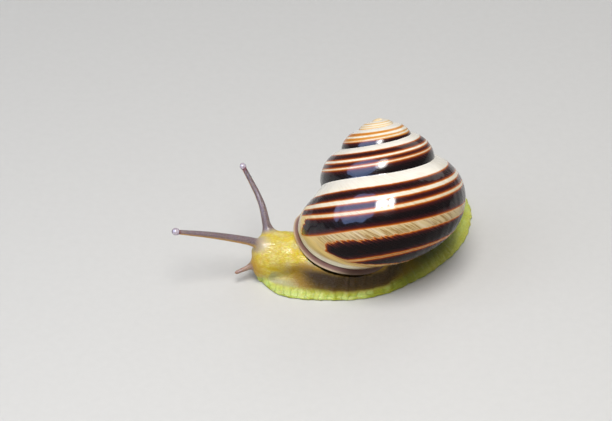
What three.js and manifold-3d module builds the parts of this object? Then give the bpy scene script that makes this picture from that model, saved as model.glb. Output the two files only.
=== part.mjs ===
// A banded grove snail (Cepaea nemoralis) crawling, at life size.
// Millimetres. The head points to -X, the animal's left side faces -Y, and the sole lies on z = 0.

import * as THREE from 'three';
import { mergeVertices } from 'three/addons/utils/BufferGeometryUtils.js';
import Module from 'manifold-3d';

const wasm = await Module();
wasm.setup();

const DEG = Math.PI / 180;
const GAP = 0.3;                      // clearance between neighbouring pieces
const SHORTEST_EDGE = 0.012;

// ---- driving dimensions: shell -------------------------------------------------------------

const WHORLS = 4.34;                  // turns from the apex to the left edge of the mouth
const BUD_RADIUS = 0.59;              // tube radius at the apex
const LAST_TURN = { radius: 5.62, halfWidth: 6.16, halfHeight: 6.52 };   // the tube where u = 0
const GROWTH = { radius: 1.3445, halfWidth: 1.3, halfHeight: 1.587, height: 1.92 };   // per turn
const SPIRE_HEIGHT = 13.42;           // apex tube centre above the tube's centre where u = 0
const LAST_RISE = 1.536;              // the last half turn sinks this much less than the spiral
const SECTION_TILT = -5.3 * DEG;      // the tube section leans outward and down
const BASE_FULLNESS = 1.076;          // the lower half of a section is a little taller
// Towards the mouth the tube's upper outer quarter is pressed down.
const PRESS = { span: 0.22, limit: 1.15, width: 0.16, height: 0.83, top: 0.04, lift: 0.43 };

const SHELL_BASE = new THREE.Vector3(3.55, -0.365, 6.25);   // on the axis, level with the tube at u = 0
const LEAN_RIGHT = 26.5 * DEG;        // the axis leans to the animal's right
const LEAN_FORWARD = 5.47 * DEG;      // and a little to its head

// The lip lies in one plane, set in shell coordinates (axis = Z, u = 0 at azimuth 180 degrees).
const LIP_AZIMUTH = 256.8 * DEG;
const LIP_ELEVATION = -59.05 * DEG;
const LIP_OFFSET = 1.752;
const LIP_PLANE_END = -130 * DEG;     // past this section angle the lip is the columella
const SUTURE_ANGLE = 81 * DEG;
const SUTURE_TURN = 0.15;             // the lip meets the suture this far past the left edge
const LIP_FLARE = 0.42;
const INNER_FLARE = 0.4;              // the inside of the lip flares by this share of that
const FLARE_SPAN = 0.05;              // turns over which the lip flares
const SHELL_WALL = 0.55;
const MOUTH_DEPTH = 0.13;             // turns of open mouth, filled by the mantle
const MANTLE_DEPTH = 0.08;            // turns that the mantle reaches in
const MANTLE_PROUD = 0.5;             // the mantle stands this far out of the lip plane

const CORE_WIDTH = 0.45;              // radius of the solid core, as a share of the turn's radius
const CORE_TURNS = { point: 0.6, top: 0.8, end: -0.25, step: 0.25 };   // point and top from the apex
const CORE_FOOT = 1.2;                // the core narrows to a point over this height
const CORE_RADIUS = 0.1;              // the tubes stay this far from the axis,
const CORE_SHARE = 1.5;               // and a tube drawn smaller stays further off by this factor
const JOINT = { reach: 0.03, narrow: 0.12 };   // turns and mm by which stretches of tube interlock
const SECTION_POINTS = 18;
// The lip bends back (in turns) round one section angle, over these spans below and above it.
const LIP_BEND = {
  turns: 0.045, at: THREE.MathUtils.degToRad(20), below: THREE.MathUtils.degToRad(24),
  above: THREE.MathUtils.degToRad(46),
};
const LIP_CORNER = 0.07;              // turns over which the lip rounds into the suture

// ---- driving dimensions: flesh -------------------------------------------------------------

// Stations along the sole: centre x, y, half width, height of the back.
const SOLE = [
  { x: -12.2, y: -1.4, half: 1.6, height: 1.3 },
  { x: -9.6, y: -1.7, half: 3.9, height: 1.7 },
  { x: -5.5, y: -2.2, half: 4.4, height: 2.6 },
  { x: 0.0, y: -2.0, half: 4.3, height: 3.2 },
  { x: 4.1, y: 0.6, half: 4.2, height: 3.1 },
  { x: 7.0, y: 3.3, half: 4.0, height: 2.7 },
  { x: 9.9, y: 7.1, half: 3.6, height: 2.3 },
  { x: 11.9, y: 11.7, half: 2.7, height: 1.8 },
  { x: 12.6, y: 15.4, half: 1.6, height: 1.1 },
  { x: 12.5, y: 17.9, half: 0.35, height: 0.5 },
];
const FRINGE_EDGE = 0.55;             // thickness of the foot's fringe
const SOLE_INSET = 0.35;              // the flat of the sole ends this far inside the fringe
const BACK = { reach: 0.93, round: 1.3, points: 8 };   // the back's share of the width, and its curve

// Stations along the neck and head: centre x, y, z, half width, half height.
const HEAD = [
  { x: -3.5, y: -1.4, z: 2.4, half: 3.1, tall: 1.7 },
  { x: -6.6, y: -1.2, z: 3.0, half: 3.1, tall: 2.1 },
  { x: -8.7, y: -1.1, z: 3.35, half: 3.0, tall: 2.55 },
  { x: -10.4, y: -1.2, z: 3.05, half: 2.7, tall: 2.7 },
  { x: -11.9, y: -1.4, z: 2.85, half: 2.4, tall: 2.55 },
  { x: -12.9, y: -1.45, z: 2.8, half: 2.0, tall: 2.15 },
  { x: -13.45, y: -1.5, z: 2.7, half: 1.35, tall: 1.5 },
  { x: -13.7, y: -1.5, z: 2.6, half: 0.5, tall: 0.6 },
];
const HEAD_SIDES = 18;
const HEAD_FLOOR = 0.12;              // the head's underside stays this far above the floor

// Rings of the trunk, from the mouth down: size as a share of the mouth, how far the ring has
// moved from the mouth to the foot, and its height over the floor at the foot.
const TRUNK = [
  { size: 1, lower: 0, z: 0 },
  { size: 0.93, lower: 0.35, z: 1.4 },
  { size: 0.8, lower: 0.8, z: 1.0 },
];
const TRUNK_FOOT = { x: -1.2, y: -1.6, long: 0.8, wide: 0.42 };   // where it meets the foot

// Tentacles: spine from root to tip, radius at root, waist and tip.
const LEFT_STALK = {
  spine: [[-11.2, -1.6, 4.3], [-12.66, -1.9, 5.32], [-14.25, -2.2, 6.05], [-17.65, -3.0, 7.25],
    [-20.2, -3.6, 8.0], [-22.3, -4.08, 8.55]],
  root: 0.95, waist: 0.62, tip: 0.27,
};
const RIGHT_STALK = {
  spine: [[-11.1, -0.5, 4.2], [-11.4, 0.2, 5.5], [-11.7, 0.8, 6.7], [-12.2, 2.0, 8.4],
    [-13.0, 3.3, 9.8], [-14.4, 4.75, 12.0]],
  root: 1.2, waist: 0.62, tip: 0.27,
};
const STALK_SPLIT = 0.5;              // each stalk is two lengths, parted here
const LEFT_EYE = { centre: [-22.6, -4.15, 8.66], radius: 0.48 };
const RIGHT_EYE = { centre: [-14.55, 4.9, 12.26], radius: 0.42 };
const LEFT_FEELER = {
  spine: [[-12.5, -2.0, 2.4], [-13.5, -2.3, 2.25], [-14.4, -2.65, 2.0], [-15.35, -3.0, 1.75]],
  root: 0.42, waist: 0.34, tip: 0.25,
};
const RIGHT_FEELER = {
  spine: [[-12.2, -0.9, 2.2], [-12.9, 0.1, 1.95], [-13.2, 0.9, 1.6], [-13.3, 1.5, 1.3]],
  root: 0.42, waist: 0.34, tip: 0.26,
};
const TENTACLE_SIDES = 10;
const WAIST = 0.2;                    // share of its length at which a tentacle has its waist
const TAPER = 0.8;                    // it thins a little faster just past the waist
const SPINE_FRAMES = 60;

// ---- solids from geometry ------------------------------------------------------------------

function solidOf(geometry) {
  const bare = geometry.clone();
  bare.deleteAttribute('normal');
  bare.deleteAttribute('uv');
  const merged = mergeVertices(bare, 1e-4);
  return new wasm.Manifold(new wasm.Mesh({
    numProp: 3,
    vertProperties: new Float32Array(merged.attributes.position.array),
    triVerts: new Uint32Array(merged.index.array),
  }));
}

function geometryOf(solid) {
  const mesh = solid.getMesh();
  const geometry = new THREE.BufferGeometry();
  geometry.setAttribute('position', new THREE.BufferAttribute(new Float32Array(mesh.vertProperties), 3));
  geometry.setIndex(new THREE.BufferAttribute(new Uint32Array(mesh.triVerts), 1));
  geometry.computeVertexNormals();
  return geometry;
}

// A closed body through rings of equal length, with a fan over each end ring.
function loft(rings) {
  const count = rings[0].length;
  const positions = [];
  const triangles = [];
  for (const ring of rings) {
    for (const point of ring) {
      positions.push(point.x, point.y, point.z);
    }
  }
  for (let row = 0; row + 1 < rings.length; row += 1) {
    for (let i = 0; i < count; i += 1) {
      const next = (i + 1) % count;
      const a = row * count + i;
      const b = row * count + next;
      triangles.push(a, a + count, b, b, a + count, b + count);
    }
  }
  for (const row of [0, rings.length - 1]) {
    const centre = new THREE.Vector3();
    rings[row].forEach((point) => centre.add(point));
    centre.divideScalar(count);
    const hub = positions.length / 3;
    positions.push(centre.x, centre.y, centre.z);
    for (let i = 0; i < count; i += 1) {
      const a = row * count + i;
      const b = row * count + ((i + 1) % count);
      if (row === 0) {
        triangles.push(hub, a, b);
      } else {
        triangles.push(hub, b, a);
      }
    }
  }
  const geometry = new THREE.BufferGeometry();
  geometry.setAttribute('position', new THREE.Float32BufferAttribute(positions, 3));
  geometry.setIndex(triangles);
  return geometry;
}

// The loft as a solid, turned inside out if its rings run the other way round.
function loftSolid(rings) {
  const solid = solidOf(loft(rings));
  return solid.volume() > 0 ? solid : solidOf(loft(rings.slice().reverse()));
}

// The largest connected body, without edges too short to matter: this fills sealed hollows and
// drops loose slivers.
function outerBody(solid) {
  const bodies = solid.simplify(SHORTEST_EDGE).decompose();
  return bodies.reduce((best, body) => (body.volume() > best.volume() ? body : best));
}

function unionOf(solids) {
  return solids.reduce((sum, solid) => sum.add(solid));
}

// ---- shell ---------------------------------------------------------------------------------

function grown(u, rate) {
  const start = rate ** -WHORLS;
  return (rate ** u - start) / (1 - start);
}

function pressShare(u) {
  return THREE.MathUtils.clamp(1 + u / PRESS.span, 0, PRESS.limit) ** 2;
}

const AXIS = new THREE.Vector3(
  -Math.sin(LEAN_FORWARD),
  Math.cos(LEAN_FORWARD) * Math.sin(LEAN_RIGHT),
  Math.cos(LEAN_FORWARD) * Math.cos(LEAN_RIGHT),
);
const REARWARD = new THREE.Vector3(
  Math.cos(LEAN_FORWARD),
  Math.sin(LEAN_FORWARD) * Math.sin(LEAN_RIGHT),
  Math.sin(LEAN_FORWARD) * Math.cos(LEAN_RIGHT),
);
const LEFTWARD = new THREE.Vector3(0, -Math.cos(LEAN_RIGHT), Math.sin(LEAN_RIGHT));
const SHELL_FRAME = new THREE.Matrix4().makeBasis(REARWARD, LEFTWARD, AXIS).setPosition(SHELL_BASE);

const LIP_NORMAL = new THREE.Vector3(
  Math.cos(LIP_ELEVATION) * Math.cos(LIP_AZIMUTH),
  Math.cos(LIP_ELEVATION) * Math.sin(LIP_AZIMUTH),
  Math.sin(LIP_ELEVATION),
);

// A point of the shell's outside in shell coordinates: u in turns, angle round the tube section
// (0 = away from the axis, 90 degrees = to the apex), swollen by extra.
function shellPoint(u, angle, extra) {
  const width = BUD_RADIUS + (LAST_TURN.halfWidth - BUD_RADIUS) * grown(u, GROWTH.halfWidth);
  const height = BUD_RADIUS + (LAST_TURN.halfHeight - BUD_RADIUS) * grown(u, GROWTH.halfHeight);
  const press = pressShare(u);
  const top = Math.max(0, Math.sin(angle));
  const shoulder = top * Math.max(0, Math.cos(angle));
  const out = (width * (1 - PRESS.width * press * shoulder) + extra) * Math.cos(angle);
  const fullness = Math.sin(angle) < 0
    ? BASE_FULLNESS
    : 1 - press * (PRESS.top * top + PRESS.height * shoulder);
  const up = (height * fullness + extra) * Math.sin(angle);
  const rise = LAST_RISE * THREE.MathUtils.clamp(2 * u + 1, 0, 1.5) ** 2 + PRESS.lift * press * top;
  const centreRadius = LAST_TURN.radius * grown(u, GROWTH.radius);
  const centreHeight = -SPIRE_HEIGHT * (grown(u, GROWTH.height) - 1) + rise;
  const radius = centreRadius + out * Math.cos(SECTION_TILT) - up * Math.sin(SECTION_TILT);
  const z = centreHeight + out * Math.sin(SECTION_TILT) + up * Math.cos(SECTION_TILT);
  const turn = Math.PI + 2 * Math.PI * u;
  const clear = Math.max(radius, CORE_RADIUS - CORE_SHARE * Math.min(0, extra));
  return new THREE.Vector3(clear * Math.cos(turn), clear * Math.sin(turn), z);
}

// The turn at which the lip plane cuts the tube at one section angle, a little earlier on the
// upper left.
function planeTurn(angle) {
  let before = -0.32;
  let after = 0.3;
  for (let step = 0; step < 40; step += 1) {
    const middle = (before + after) / 2;
    if (shellPoint(middle, angle, 0).dot(LIP_NORMAL) < LIP_OFFSET) {
      before = middle;
    } else {
      after = middle;
    }
  }
  const away = angle - LIP_BEND.at;
  const span = away < 0 ? LIP_BEND.below : LIP_BEND.above;
  return (before + after) / 2 - LIP_BEND.turns * Math.exp(-((away / span) ** 2));
}

// The lesser of two numbers, rounded where they cross.
function softMin(a, b, width) {
  const near = Math.max(width - Math.abs(a - b), 0) / width;
  return Math.min(a, b) - (near * near * width) / 4;
}

// The turn of the lip at any section angle: on the plane along the free lip, and from the suture
// back to the columella on the hidden inner side.
function lipTurn(angle) {
  if (angle >= LIP_PLANE_END && angle < SUTURE_ANGLE) {
    return softMin(planeTurn(angle), SUTURE_TURN, LIP_CORNER);
  }
  const foot = planeTurn(LIP_PLANE_END);
  const past = angle >= SUTURE_ANGLE ? angle - SUTURE_ANGLE : angle + 2 * Math.PI - SUTURE_ANGLE;
  const share = past / (LIP_PLANE_END + 2 * Math.PI - SUTURE_ANGLE);
  return SUTURE_TURN + (foot - SUTURE_TURN) * share;
}

function sectionAngles() {
  const angles = [];
  for (let i = 0; i < SECTION_POINTS; i += 1) {
    angles.push(-Math.PI + (2 * Math.PI * i) / SECTION_POINTS);
  }
  return angles;
}

function placed(point) {
  return point.applyMatrix4(SHELL_FRAME);
}

function tubeRing(u, extra) {
  return sectionAngles().map((angle) => placed(shellPoint(u, angle, extra)));
}

// One stretch of tube. It ends in a narrower ring that reaches into the next stretch.
function tubeStretch(from, to, steps, extra) {
  const rings = [];
  for (let step = 0; step <= steps; step += 1) {
    rings.push(tubeRing(from + ((to - from) * step) / steps, extra));
  }
  rings.push(tubeRing(to + JOINT.reach, extra - JOINT.narrow));
  return loftSolid(rings);
}

// All turns before the last half turn.
function earlyWhorls(extra) {
  const stretches = [];
  for (let to = -0.5; to > -WHORLS; to -= 0.5) {
    const from = Math.max(to - 0.5, -WHORLS);
    const steps = to > -2.1 ? 9 : 6;
    stretches.push(tubeStretch(from, to, steps, extra));
  }
  return unionOf(stretches);
}

// The end of the tube: depth is how far back from the lip it starts (in turns), or the last half
// turn where depth is 0. It runs past the lip plane by beyond, and flares by flare at the lip.
function tubeEnd(depth, extra, flare, beyond) {
  const steps = depth > 0 ? 4 : 14;
  const shift = LIP_NORMAL.clone().multiplyScalar(beyond);
  const turns = sectionAngles().map((angle) => lipTurn(angle));
  const rings = [];
  for (let step = 0; step <= steps; step += 1) {
    rings.push(sectionAngles().map((angle, i) => {
      const start = depth > 0 ? turns[i] - depth : -0.5;
      const u = start + ((turns[i] - start) * step) / steps;
      const near = Math.max(0, 1 - (turns[i] - u) / FLARE_SPAN);
      const point = shellPoint(u, angle, extra + flare * near);
      return placed(step === steps ? point.add(shift) : point);
    }));
  }
  return loftSolid(rings);
}

// The solid core on the axis, which closes the umbilicus.
function columella() {
  const profile = [new THREE.Vector2(0, shellPoint(-WHORLS + CORE_TURNS.point, 0, 0).z)];
  for (let u = -WHORLS + CORE_TURNS.top; u < CORE_TURNS.end; u += CORE_TURNS.step) {
    const radius = CORE_WIDTH * LAST_TURN.radius * grown(u, GROWTH.radius);
    profile.push(new THREE.Vector2(radius, -SPIRE_HEIGHT * (grown(u, GROWTH.height) - 1)));
  }
  const last = profile[profile.length - 1];
  profile.push(new THREE.Vector2(0, last.y - CORE_FOOT));
  const core = new THREE.LatheGeometry(profile, 12);
  core.rotateX(Math.PI / 2);
  core.applyMatrix4(SHELL_FRAME);
  return solidOf(core);
}

function shellSolid() {
  const early = earlyWhorls(0);
  const hollow = tubeEnd(MOUTH_DEPTH, -SHELL_WALL, LIP_FLARE * INNER_FLARE, 2 * MANTLE_PROUD)
    .subtract(early);
  return early.add(tubeEnd(0, 0, LIP_FLARE, 0)).add(columella()).subtract(hollow);
}

// The room that the shell takes up, with the clearance round it.
function shellRoom() {
  return earlyWhorls(GAP).add(tubeEnd(0, GAP, LIP_FLARE, GAP));
}

function mantleSolid(extra) {
  const inset = extra - SHELL_WALL - GAP;
  const plug = tubeEnd(MANTLE_DEPTH, inset, LIP_FLARE * INNER_FLARE, MANTLE_PROUD + extra);
  return plug.subtract(earlyWhorls(GAP - extra));
}

// ---- flesh ---------------------------------------------------------------------------------

function throughStations(stations, keys, steps) {
  const curves = [];
  for (let k = 0; k < keys.length; k += 2) {
    const second = keys[k + 1];
    curves.push(new THREE.SplineCurve(stations.map((station) => (
      new THREE.Vector2(station[keys[k]], second ? station[second] : 0)))));
  }
  const rows = [];
  for (let step = 0; step <= steps; step += 1) {
    const row = {};
    curves.forEach((curve, index) => {
      const point = curve.getPoint(step / steps);
      row[keys[2 * index]] = point.x;
      if (keys[2 * index + 1]) {
        row[keys[2 * index + 1]] = point.y;
      }
    });
    rows.push(row);
  }
  return rows;
}

// The foot: a flat sole, a thin fringe and a rounded back, swept along the sole's stations.
function footSolid() {
  const rows = throughStations(SOLE, ['x', 'y', 'half', 'height'], 34);
  const rings = rows.map((row, index) => {
    const ahead = rows[Math.min(index + 1, rows.length - 1)];
    const behind = rows[Math.max(index - 1, 0)];
    const side = new THREE.Vector2(-(ahead.y - behind.y), ahead.x - behind.x).normalize();
    const edge = Math.min(FRINGE_EDGE, row.height * 0.5);
    const flat = Math.max(row.half - SOLE_INSET, row.half * 0.5);
    const outline = [[-flat, 0], [0, 0], [flat, 0], [row.half, edge * 0.5]];
    for (let step = 0; step <= BACK.points; step += 1) {
      const across = BACK.reach * Math.cos((Math.PI * step) / BACK.points);
      const back = Math.cos((Math.PI / 2) * across) ** BACK.round;
      outline.push([across * row.half, edge + (row.height - edge) * back]);
    }
    outline.push([-row.half, edge * 0.5]);
    return outline.map(([across, z]) => (
      new THREE.Vector3(row.x + side.x * across, row.y + side.y * across, z)));
  });
  return loftSolid(rings);
}

// Neck and head in one, swept along their stations and swollen by extra.
function headSolid(extra) {
  const rows = throughStations(HEAD, ['x', 'y', 'z', 'half', 'tall'], 22);
  const rings = rows.map((row) => {
    const ring = [];
    for (let i = 0; i < HEAD_SIDES; i += 1) {
      const angle = (2 * Math.PI * i) / HEAD_SIDES;
      const across = (row.half + extra) * Math.cos(angle);
      const up = (row.tall + extra) * Math.sin(angle);
      ring.push(new THREE.Vector3(row.x, row.y + across, Math.max(row.z + up, HEAD_FLOOR)));
    }
    return ring;
  });
  if (extra > 0) {
    const front = rings[rings.length - 1];
    rings.push(front.map((point) => point.clone().add(new THREE.Vector3(-extra, 0, 0))));
  }
  return loftSolid(rings);
}

// The trunk: from the back of the foot up to the mantle in the shell's mouth.
function trunkSolid() {
  const below = LIP_NORMAL.clone().multiplyScalar(MANTLE_PROUD + 1.1 * GAP);
  const top = sectionAngles().map((angle) => (
    placed(shellPoint(lipTurn(angle), angle, -SHELL_WALL - GAP).add(below))));
  const centre = top.reduce((sum, point) => sum.add(point), new THREE.Vector3());
  centre.divideScalar(top.length);
  const rings = [];
  for (const { size, lower, z } of TRUNK) {
    rings.push(top.map((point) => {
      const reach = point.clone().sub(centre).multiplyScalar(size);
      const onFoot = new THREE.Vector3(
        TRUNK_FOOT.x + reach.x * TRUNK_FOOT.long,
        TRUNK_FOOT.y + reach.y * TRUNK_FOOT.wide,
        z,
      );
      return point.clone().lerp(onFoot, lower);
    }));
  }
  return loftSolid(rings);
}

function tentacleRings(spec, from, to, steps, extra) {
  const spine = new THREE.CatmullRomCurve3(spec.spine.map((point) => new THREE.Vector3(...point)));
  const frames = spine.computeFrenetFrames(SPINE_FRAMES);
  const rings = [];
  for (let step = 0; step <= steps; step += 1) {
    const at = from + ((to - from) * step) / steps;
    const frame = Math.round(at * SPINE_FRAMES);
    const centre = spine.getPointAt(at);
    const thin = at < WAIST
      ? THREE.MathUtils.lerp(spec.root, spec.waist, Math.sin((at / WAIST) * Math.PI / 2))
      : THREE.MathUtils.lerp(spec.waist, spec.tip, ((at - WAIST) / (1 - WAIST)) ** TAPER);
    const ring = [];
    for (let i = 0; i < TENTACLE_SIDES; i += 1) {
      const angle = (2 * Math.PI * i) / TENTACLE_SIDES;
      const across = frames.normals[frame].clone().multiplyScalar(Math.cos(angle));
      across.addScaledVector(frames.binormals[frame], Math.sin(angle));
      ring.push(centre.clone().addScaledVector(across, thin + extra));
    }
    rings.push(ring);
  }
  return rings;
}

function spineLength(spec) {
  return new THREE.CatmullRomCurve3(spec.spine.map((point) => new THREE.Vector3(...point))).getLength();
}

function tentacleLength(spec, from, to, steps) {
  return loftSolid(tentacleRings(spec, from, to, steps, 0));
}

// Feelers end in a round tip.
function feelerSolid(spec) {
  const body = tentacleLength(spec, 0, 1, 8);
  const tip = new THREE.SphereGeometry(spec.tip * 1.05, 10, 8);
  tip.translate(...spec.spine[spec.spine.length - 1]);
  return body.add(solidOf(tip));
}

function box(low, high) {
  const size = high.map((value, axis) => value - low[axis]);
  const geometry = new THREE.BoxGeometry(...size);
  geometry.translate(...low.map((value, axis) => value + size[axis] / 2));
  return solidOf(geometry);
}

// A thin upright wall across the foot at a point of its line, facing along the heading.
function crossCut(x, y, heading) {
  const wall = new THREE.BoxGeometry(GAP, CUT.wide, CUT.tall);
  wall.rotateZ(heading);
  wall.translate(x, y, 0);
  return solidOf(wall);
}

// ---- parting the animal --------------------------------------------------------------------

const HEAD_BACK = -9.7;               // the head ends and the neck starts
const NECK_BACK = -5.6;               // the neck ends and the trunk starts
const FOOT_TOP = 1.25;                // the foot ends and the neck and trunk start
const FRONT_BACK = -4.6;              // the first length of foot ends
const TRUNK_BACK = 4.4;               // the trunk ends and the hind foot has its full height
const TAIL_ROOT = { x: 9.0, y: 6.1, heading: 52 * DEG };
const TAIL_TIP_ROOT = { x: 12.1, y: 12.3, heading: 76 * DEG };
const CUT = { wide: 12, tall: 28 };   // a cut's wall is wider than the foot and taller than its back
const FAR = 60;

function fleshNodes() {
  const room = shellRoom().add(mantleSolid(GAP));
  const flesh = unionOf([footSolid(), headSolid(0), trunkSolid()]).subtract(room);
  const regions = {
    head: box([-FAR, -FAR, FOOT_TOP + GAP], [HEAD_BACK, FAR, FAR]),
    neck: box([HEAD_BACK + GAP, -FAR, FOOT_TOP + GAP], [NECK_BACK, FAR, FAR]),
    trunk: box([NECK_BACK + GAP, -FAR, FOOT_TOP + GAP], [TRUNK_BACK, FAR, FAR]),
    foot_front: box([-FAR, -FAR, -1], [FRONT_BACK, FAR, FOOT_TOP]),
    foot_middle: box([FRONT_BACK + GAP, -FAR, -1], [TRUNK_BACK, FAR, FOOT_TOP]),
  };
  const nodes = {};
  for (const [name, region] of Object.entries(regions)) {
    nodes[name] = flesh.intersect(region);
  }
  const hind = flesh.intersect(box([TRUNK_BACK + GAP, -FAR, -1], [FAR, FAR, FAR]))
    .subtract(crossCut(TAIL_ROOT.x, TAIL_ROOT.y, TAIL_ROOT.heading))
    .subtract(crossCut(TAIL_TIP_ROOT.x, TAIL_TIP_ROOT.y, TAIL_TIP_ROOT.heading));
  const lengths = hind.decompose().sort((a, b) => a.boundingBox().min[1] - b.boundingBox().min[1]);
  ['foot_rear', 'tail', 'tail_tip'].forEach((name, index) => {
    nodes[name] = lengths[index];
  });
  return nodes;
}

function stalkNodes(side, spec, eye) {
  const end = 1 - Math.max(0, GAP + eye.radius - eyeDistance(spec, eye)) / spineLength(spec);
  const lower = tentacleLength(spec, 0, STALK_SPLIT, 9).subtract(headSolid(GAP));
  const upper = tentacleLength(spec, STALK_SPLIT + GAP / spineLength(spec), end, 8);
  const ball = new THREE.SphereGeometry(eye.radius, 14, 10);
  ball.translate(...eye.centre);
  return {
    [`${side}_eye_stalk_lower`]: lower,
    [`${side}_eye_stalk_upper`]: upper,
    [`${side}_eye`]: solidOf(ball),
  };
}

function eyeDistance(spec, eye) {
  const tip = new THREE.Vector3(...spec.spine[spec.spine.length - 1]);
  return tip.distanceTo(new THREE.Vector3(...eye.centre));
}

// ---- finishes and the model ----------------------------------------------------------------

const FINISH = {
  shell: { color: 0xd9c49a, roughness: 0.25, metalness: 0 },
  yellow: { color: 0xcdb23a, roughness: 0.45, metalness: 0 },
  fringe: { color: 0xb9c257, roughness: 0.45, metalness: 0 },
  mantle: { color: 0xb98a3c, roughness: 0.45, metalness: 0 },
  stalk: { color: 0x9a8583, roughness: 0.45, metalness: 0 },
  eye: { color: 0xd9d3dc, roughness: 0.15, metalness: 0 },
};

const NODE_FINISH = {
  shell: 'shell', mantle_collar: 'mantle', trunk: 'mantle', head: 'yellow', neck: 'yellow',
  left_eye: 'eye', right_eye: 'eye',
};

function finishOf(name) {
  if (NODE_FINISH[name]) {
    return FINISH[NODE_FINISH[name]];
  }
  return name.startsWith('foot') || name.startsWith('tail') ? FINISH.fringe : FINISH.stalk;
}

const headRoom = headSolid(GAP);
const solids = {
  shell: shellSolid(),
  mantle_collar: mantleSolid(0),
  ...fleshNodes(),
  ...stalkNodes('left', LEFT_STALK, LEFT_EYE),
  ...stalkNodes('right', RIGHT_STALK, RIGHT_EYE),
  left_lower_tentacle: feelerSolid(LEFT_FEELER).subtract(headRoom),
  right_lower_tentacle: feelerSolid(RIGHT_FEELER).subtract(headRoom),
};

const group = new THREE.Group();
for (const [name, solid] of Object.entries(solids)) {
  const body = geometryOf(outerBody(solid));
  const mesh = new THREE.Mesh(body, new THREE.MeshStandardMaterial(finishOf(name)));
  mesh.name = name;
  group.add(mesh);
}

export default group;
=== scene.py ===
"""A banded grove snail crawling on a pale floor: shell, one continuous skin, and two eyes.

Shapes are worked out in millimetres and turned into metres when a mesh is made. The head points to
-X, the animal's left side faces -Y, and the sole lies on z = 0.
"""
import math

import bpy
import numpy as np
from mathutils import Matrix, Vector
from mathutils.kdtree import KDTree


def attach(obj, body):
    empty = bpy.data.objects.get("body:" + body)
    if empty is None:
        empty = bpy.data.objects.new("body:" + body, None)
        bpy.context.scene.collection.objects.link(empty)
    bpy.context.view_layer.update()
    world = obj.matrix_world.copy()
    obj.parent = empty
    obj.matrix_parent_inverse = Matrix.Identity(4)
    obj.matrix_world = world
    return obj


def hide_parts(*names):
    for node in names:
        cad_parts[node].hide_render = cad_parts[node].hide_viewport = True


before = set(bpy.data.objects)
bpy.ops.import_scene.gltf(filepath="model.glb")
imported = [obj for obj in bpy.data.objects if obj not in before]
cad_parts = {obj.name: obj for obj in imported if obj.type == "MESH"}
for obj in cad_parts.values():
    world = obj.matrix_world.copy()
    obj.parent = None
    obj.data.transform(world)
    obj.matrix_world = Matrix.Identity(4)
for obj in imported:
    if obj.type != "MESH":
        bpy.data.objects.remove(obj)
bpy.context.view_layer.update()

MM = 0.001
TAU = 2 * math.pi
scene = bpy.context.scene


# ---- camera

CAMERA_AT = (-6.75, -269.423, 190.70)  # mm
CAMERA_PITCH = 34.0  # degrees below the horizon
CAMERA_LENS = 155.3  # on a 36 mm sensor

camera = bpy.data.objects.new("camera", bpy.data.cameras.new("camera"))
camera.data.lens = CAMERA_LENS
camera.data.sensor_width = 36.0
camera.location = Vector(CAMERA_AT) * MM
camera.rotation_euler = (math.radians(90 - CAMERA_PITCH), 0, 0)
scene.collection.objects.link(camera)
scene.camera = camera


# ---- the shell's form
# u counts turns along the tube (0 = left silhouette, -4.34 = apex); the section angle is 0 away
# from the axis and 90 degrees to the apex. Shell coordinates have the shell's axis as Z.

WHORLS = 4.34
BUD_RADIUS = 0.59
TURN_RADIUS, TURN_WIDTH, TURN_HEIGHT = 5.62, 6.16, 6.52
GROW_RADIUS, GROW_WIDTH, GROW_HEIGHT, GROW_RISE = 1.3445, 1.3, 1.587, 1.92
SPIRE_HEIGHT = 13.42
LAST_RISE = 1.536  # mm that the tube rises over the last RISE_SPAN turns, to u = 0
RISE_SPAN, RISE_LIMIT = 0.5, 1.5
SECTION_TILT = math.radians(-5.3)
BASE_FULLNESS = 1.076
# over the last PRESS_SPAN turns the shoulder is pressed in, by shares of its size, and the top is lifted
PRESS_SPAN, PRESS_LIMIT = 0.22, 1.15
PRESS_WIDTH, PRESS_HEIGHT, PRESS_TOP, PRESS_LIFT = 0.16, 0.83, 0.04, 0.43
SHELL_BASE = np.array([3.55, -0.365, 6.25])
LEAN_RIGHT, LEAN_FORWARD = math.radians(26.5), math.radians(5.47)
CORE_RADIUS = 0.1

LIP_AZIMUTH, LIP_ELEVATION = math.radians(256.8), math.radians(-59.05)
LIP_OFFSET = 1.752
LIP_NORMAL = np.array([
    math.cos(LIP_ELEVATION) * math.cos(LIP_AZIMUTH),
    math.cos(LIP_ELEVATION) * math.sin(LIP_AZIMUTH),
    math.sin(LIP_ELEVATION),
])
LIP_PLANE_END = math.radians(-130)
SUTURE_ANGLE = math.radians(81)
SUTURE_TURN = 0.15
LIP_BEND, LIP_BEND_AT = 0.045, math.radians(20)
LIP_BEND_SPANS = math.radians(24), math.radians(46)  # below and above
LIP_CORNER = 0.07  # turns over which the lip rounds into the suture
# where sutures, the core (section angles) and the lip plane's cut (turns) are looked for
SUTURE_SEARCH = math.radians(35), math.radians(135)
CORE_SEARCH = math.radians(-90), math.radians(-180)
LIP_SEARCH = -0.32, 0.3

AXIS = np.array([
    -math.sin(LEAN_FORWARD),
    math.cos(LEAN_FORWARD) * math.sin(LEAN_RIGHT),
    math.cos(LEAN_FORWARD) * math.cos(LEAN_RIGHT),
])
REARWARD = np.array([
    math.cos(LEAN_FORWARD),
    math.sin(LEAN_FORWARD) * math.sin(LEAN_RIGHT),
    math.sin(LEAN_FORWARD) * math.cos(LEAN_RIGHT),
])
LEFTWARD = np.array([0.0, -math.cos(LEAN_RIGHT), math.sin(LEAN_RIGHT)])


def smooth(low, high, x):
    """0 at low, 1 at high and beyond, with a soft change between."""
    t = np.clip((x - low) / (high - low), 0, 1)
    return t * t * (3 - 2 * t)


def grown(u, rate):
    """Growth along the tube: 0 at the apex, 1 at u = 0, times the rate with each turn."""
    start = rate ** -WHORLS
    return (rate ** u - start) / (1 - start)


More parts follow.
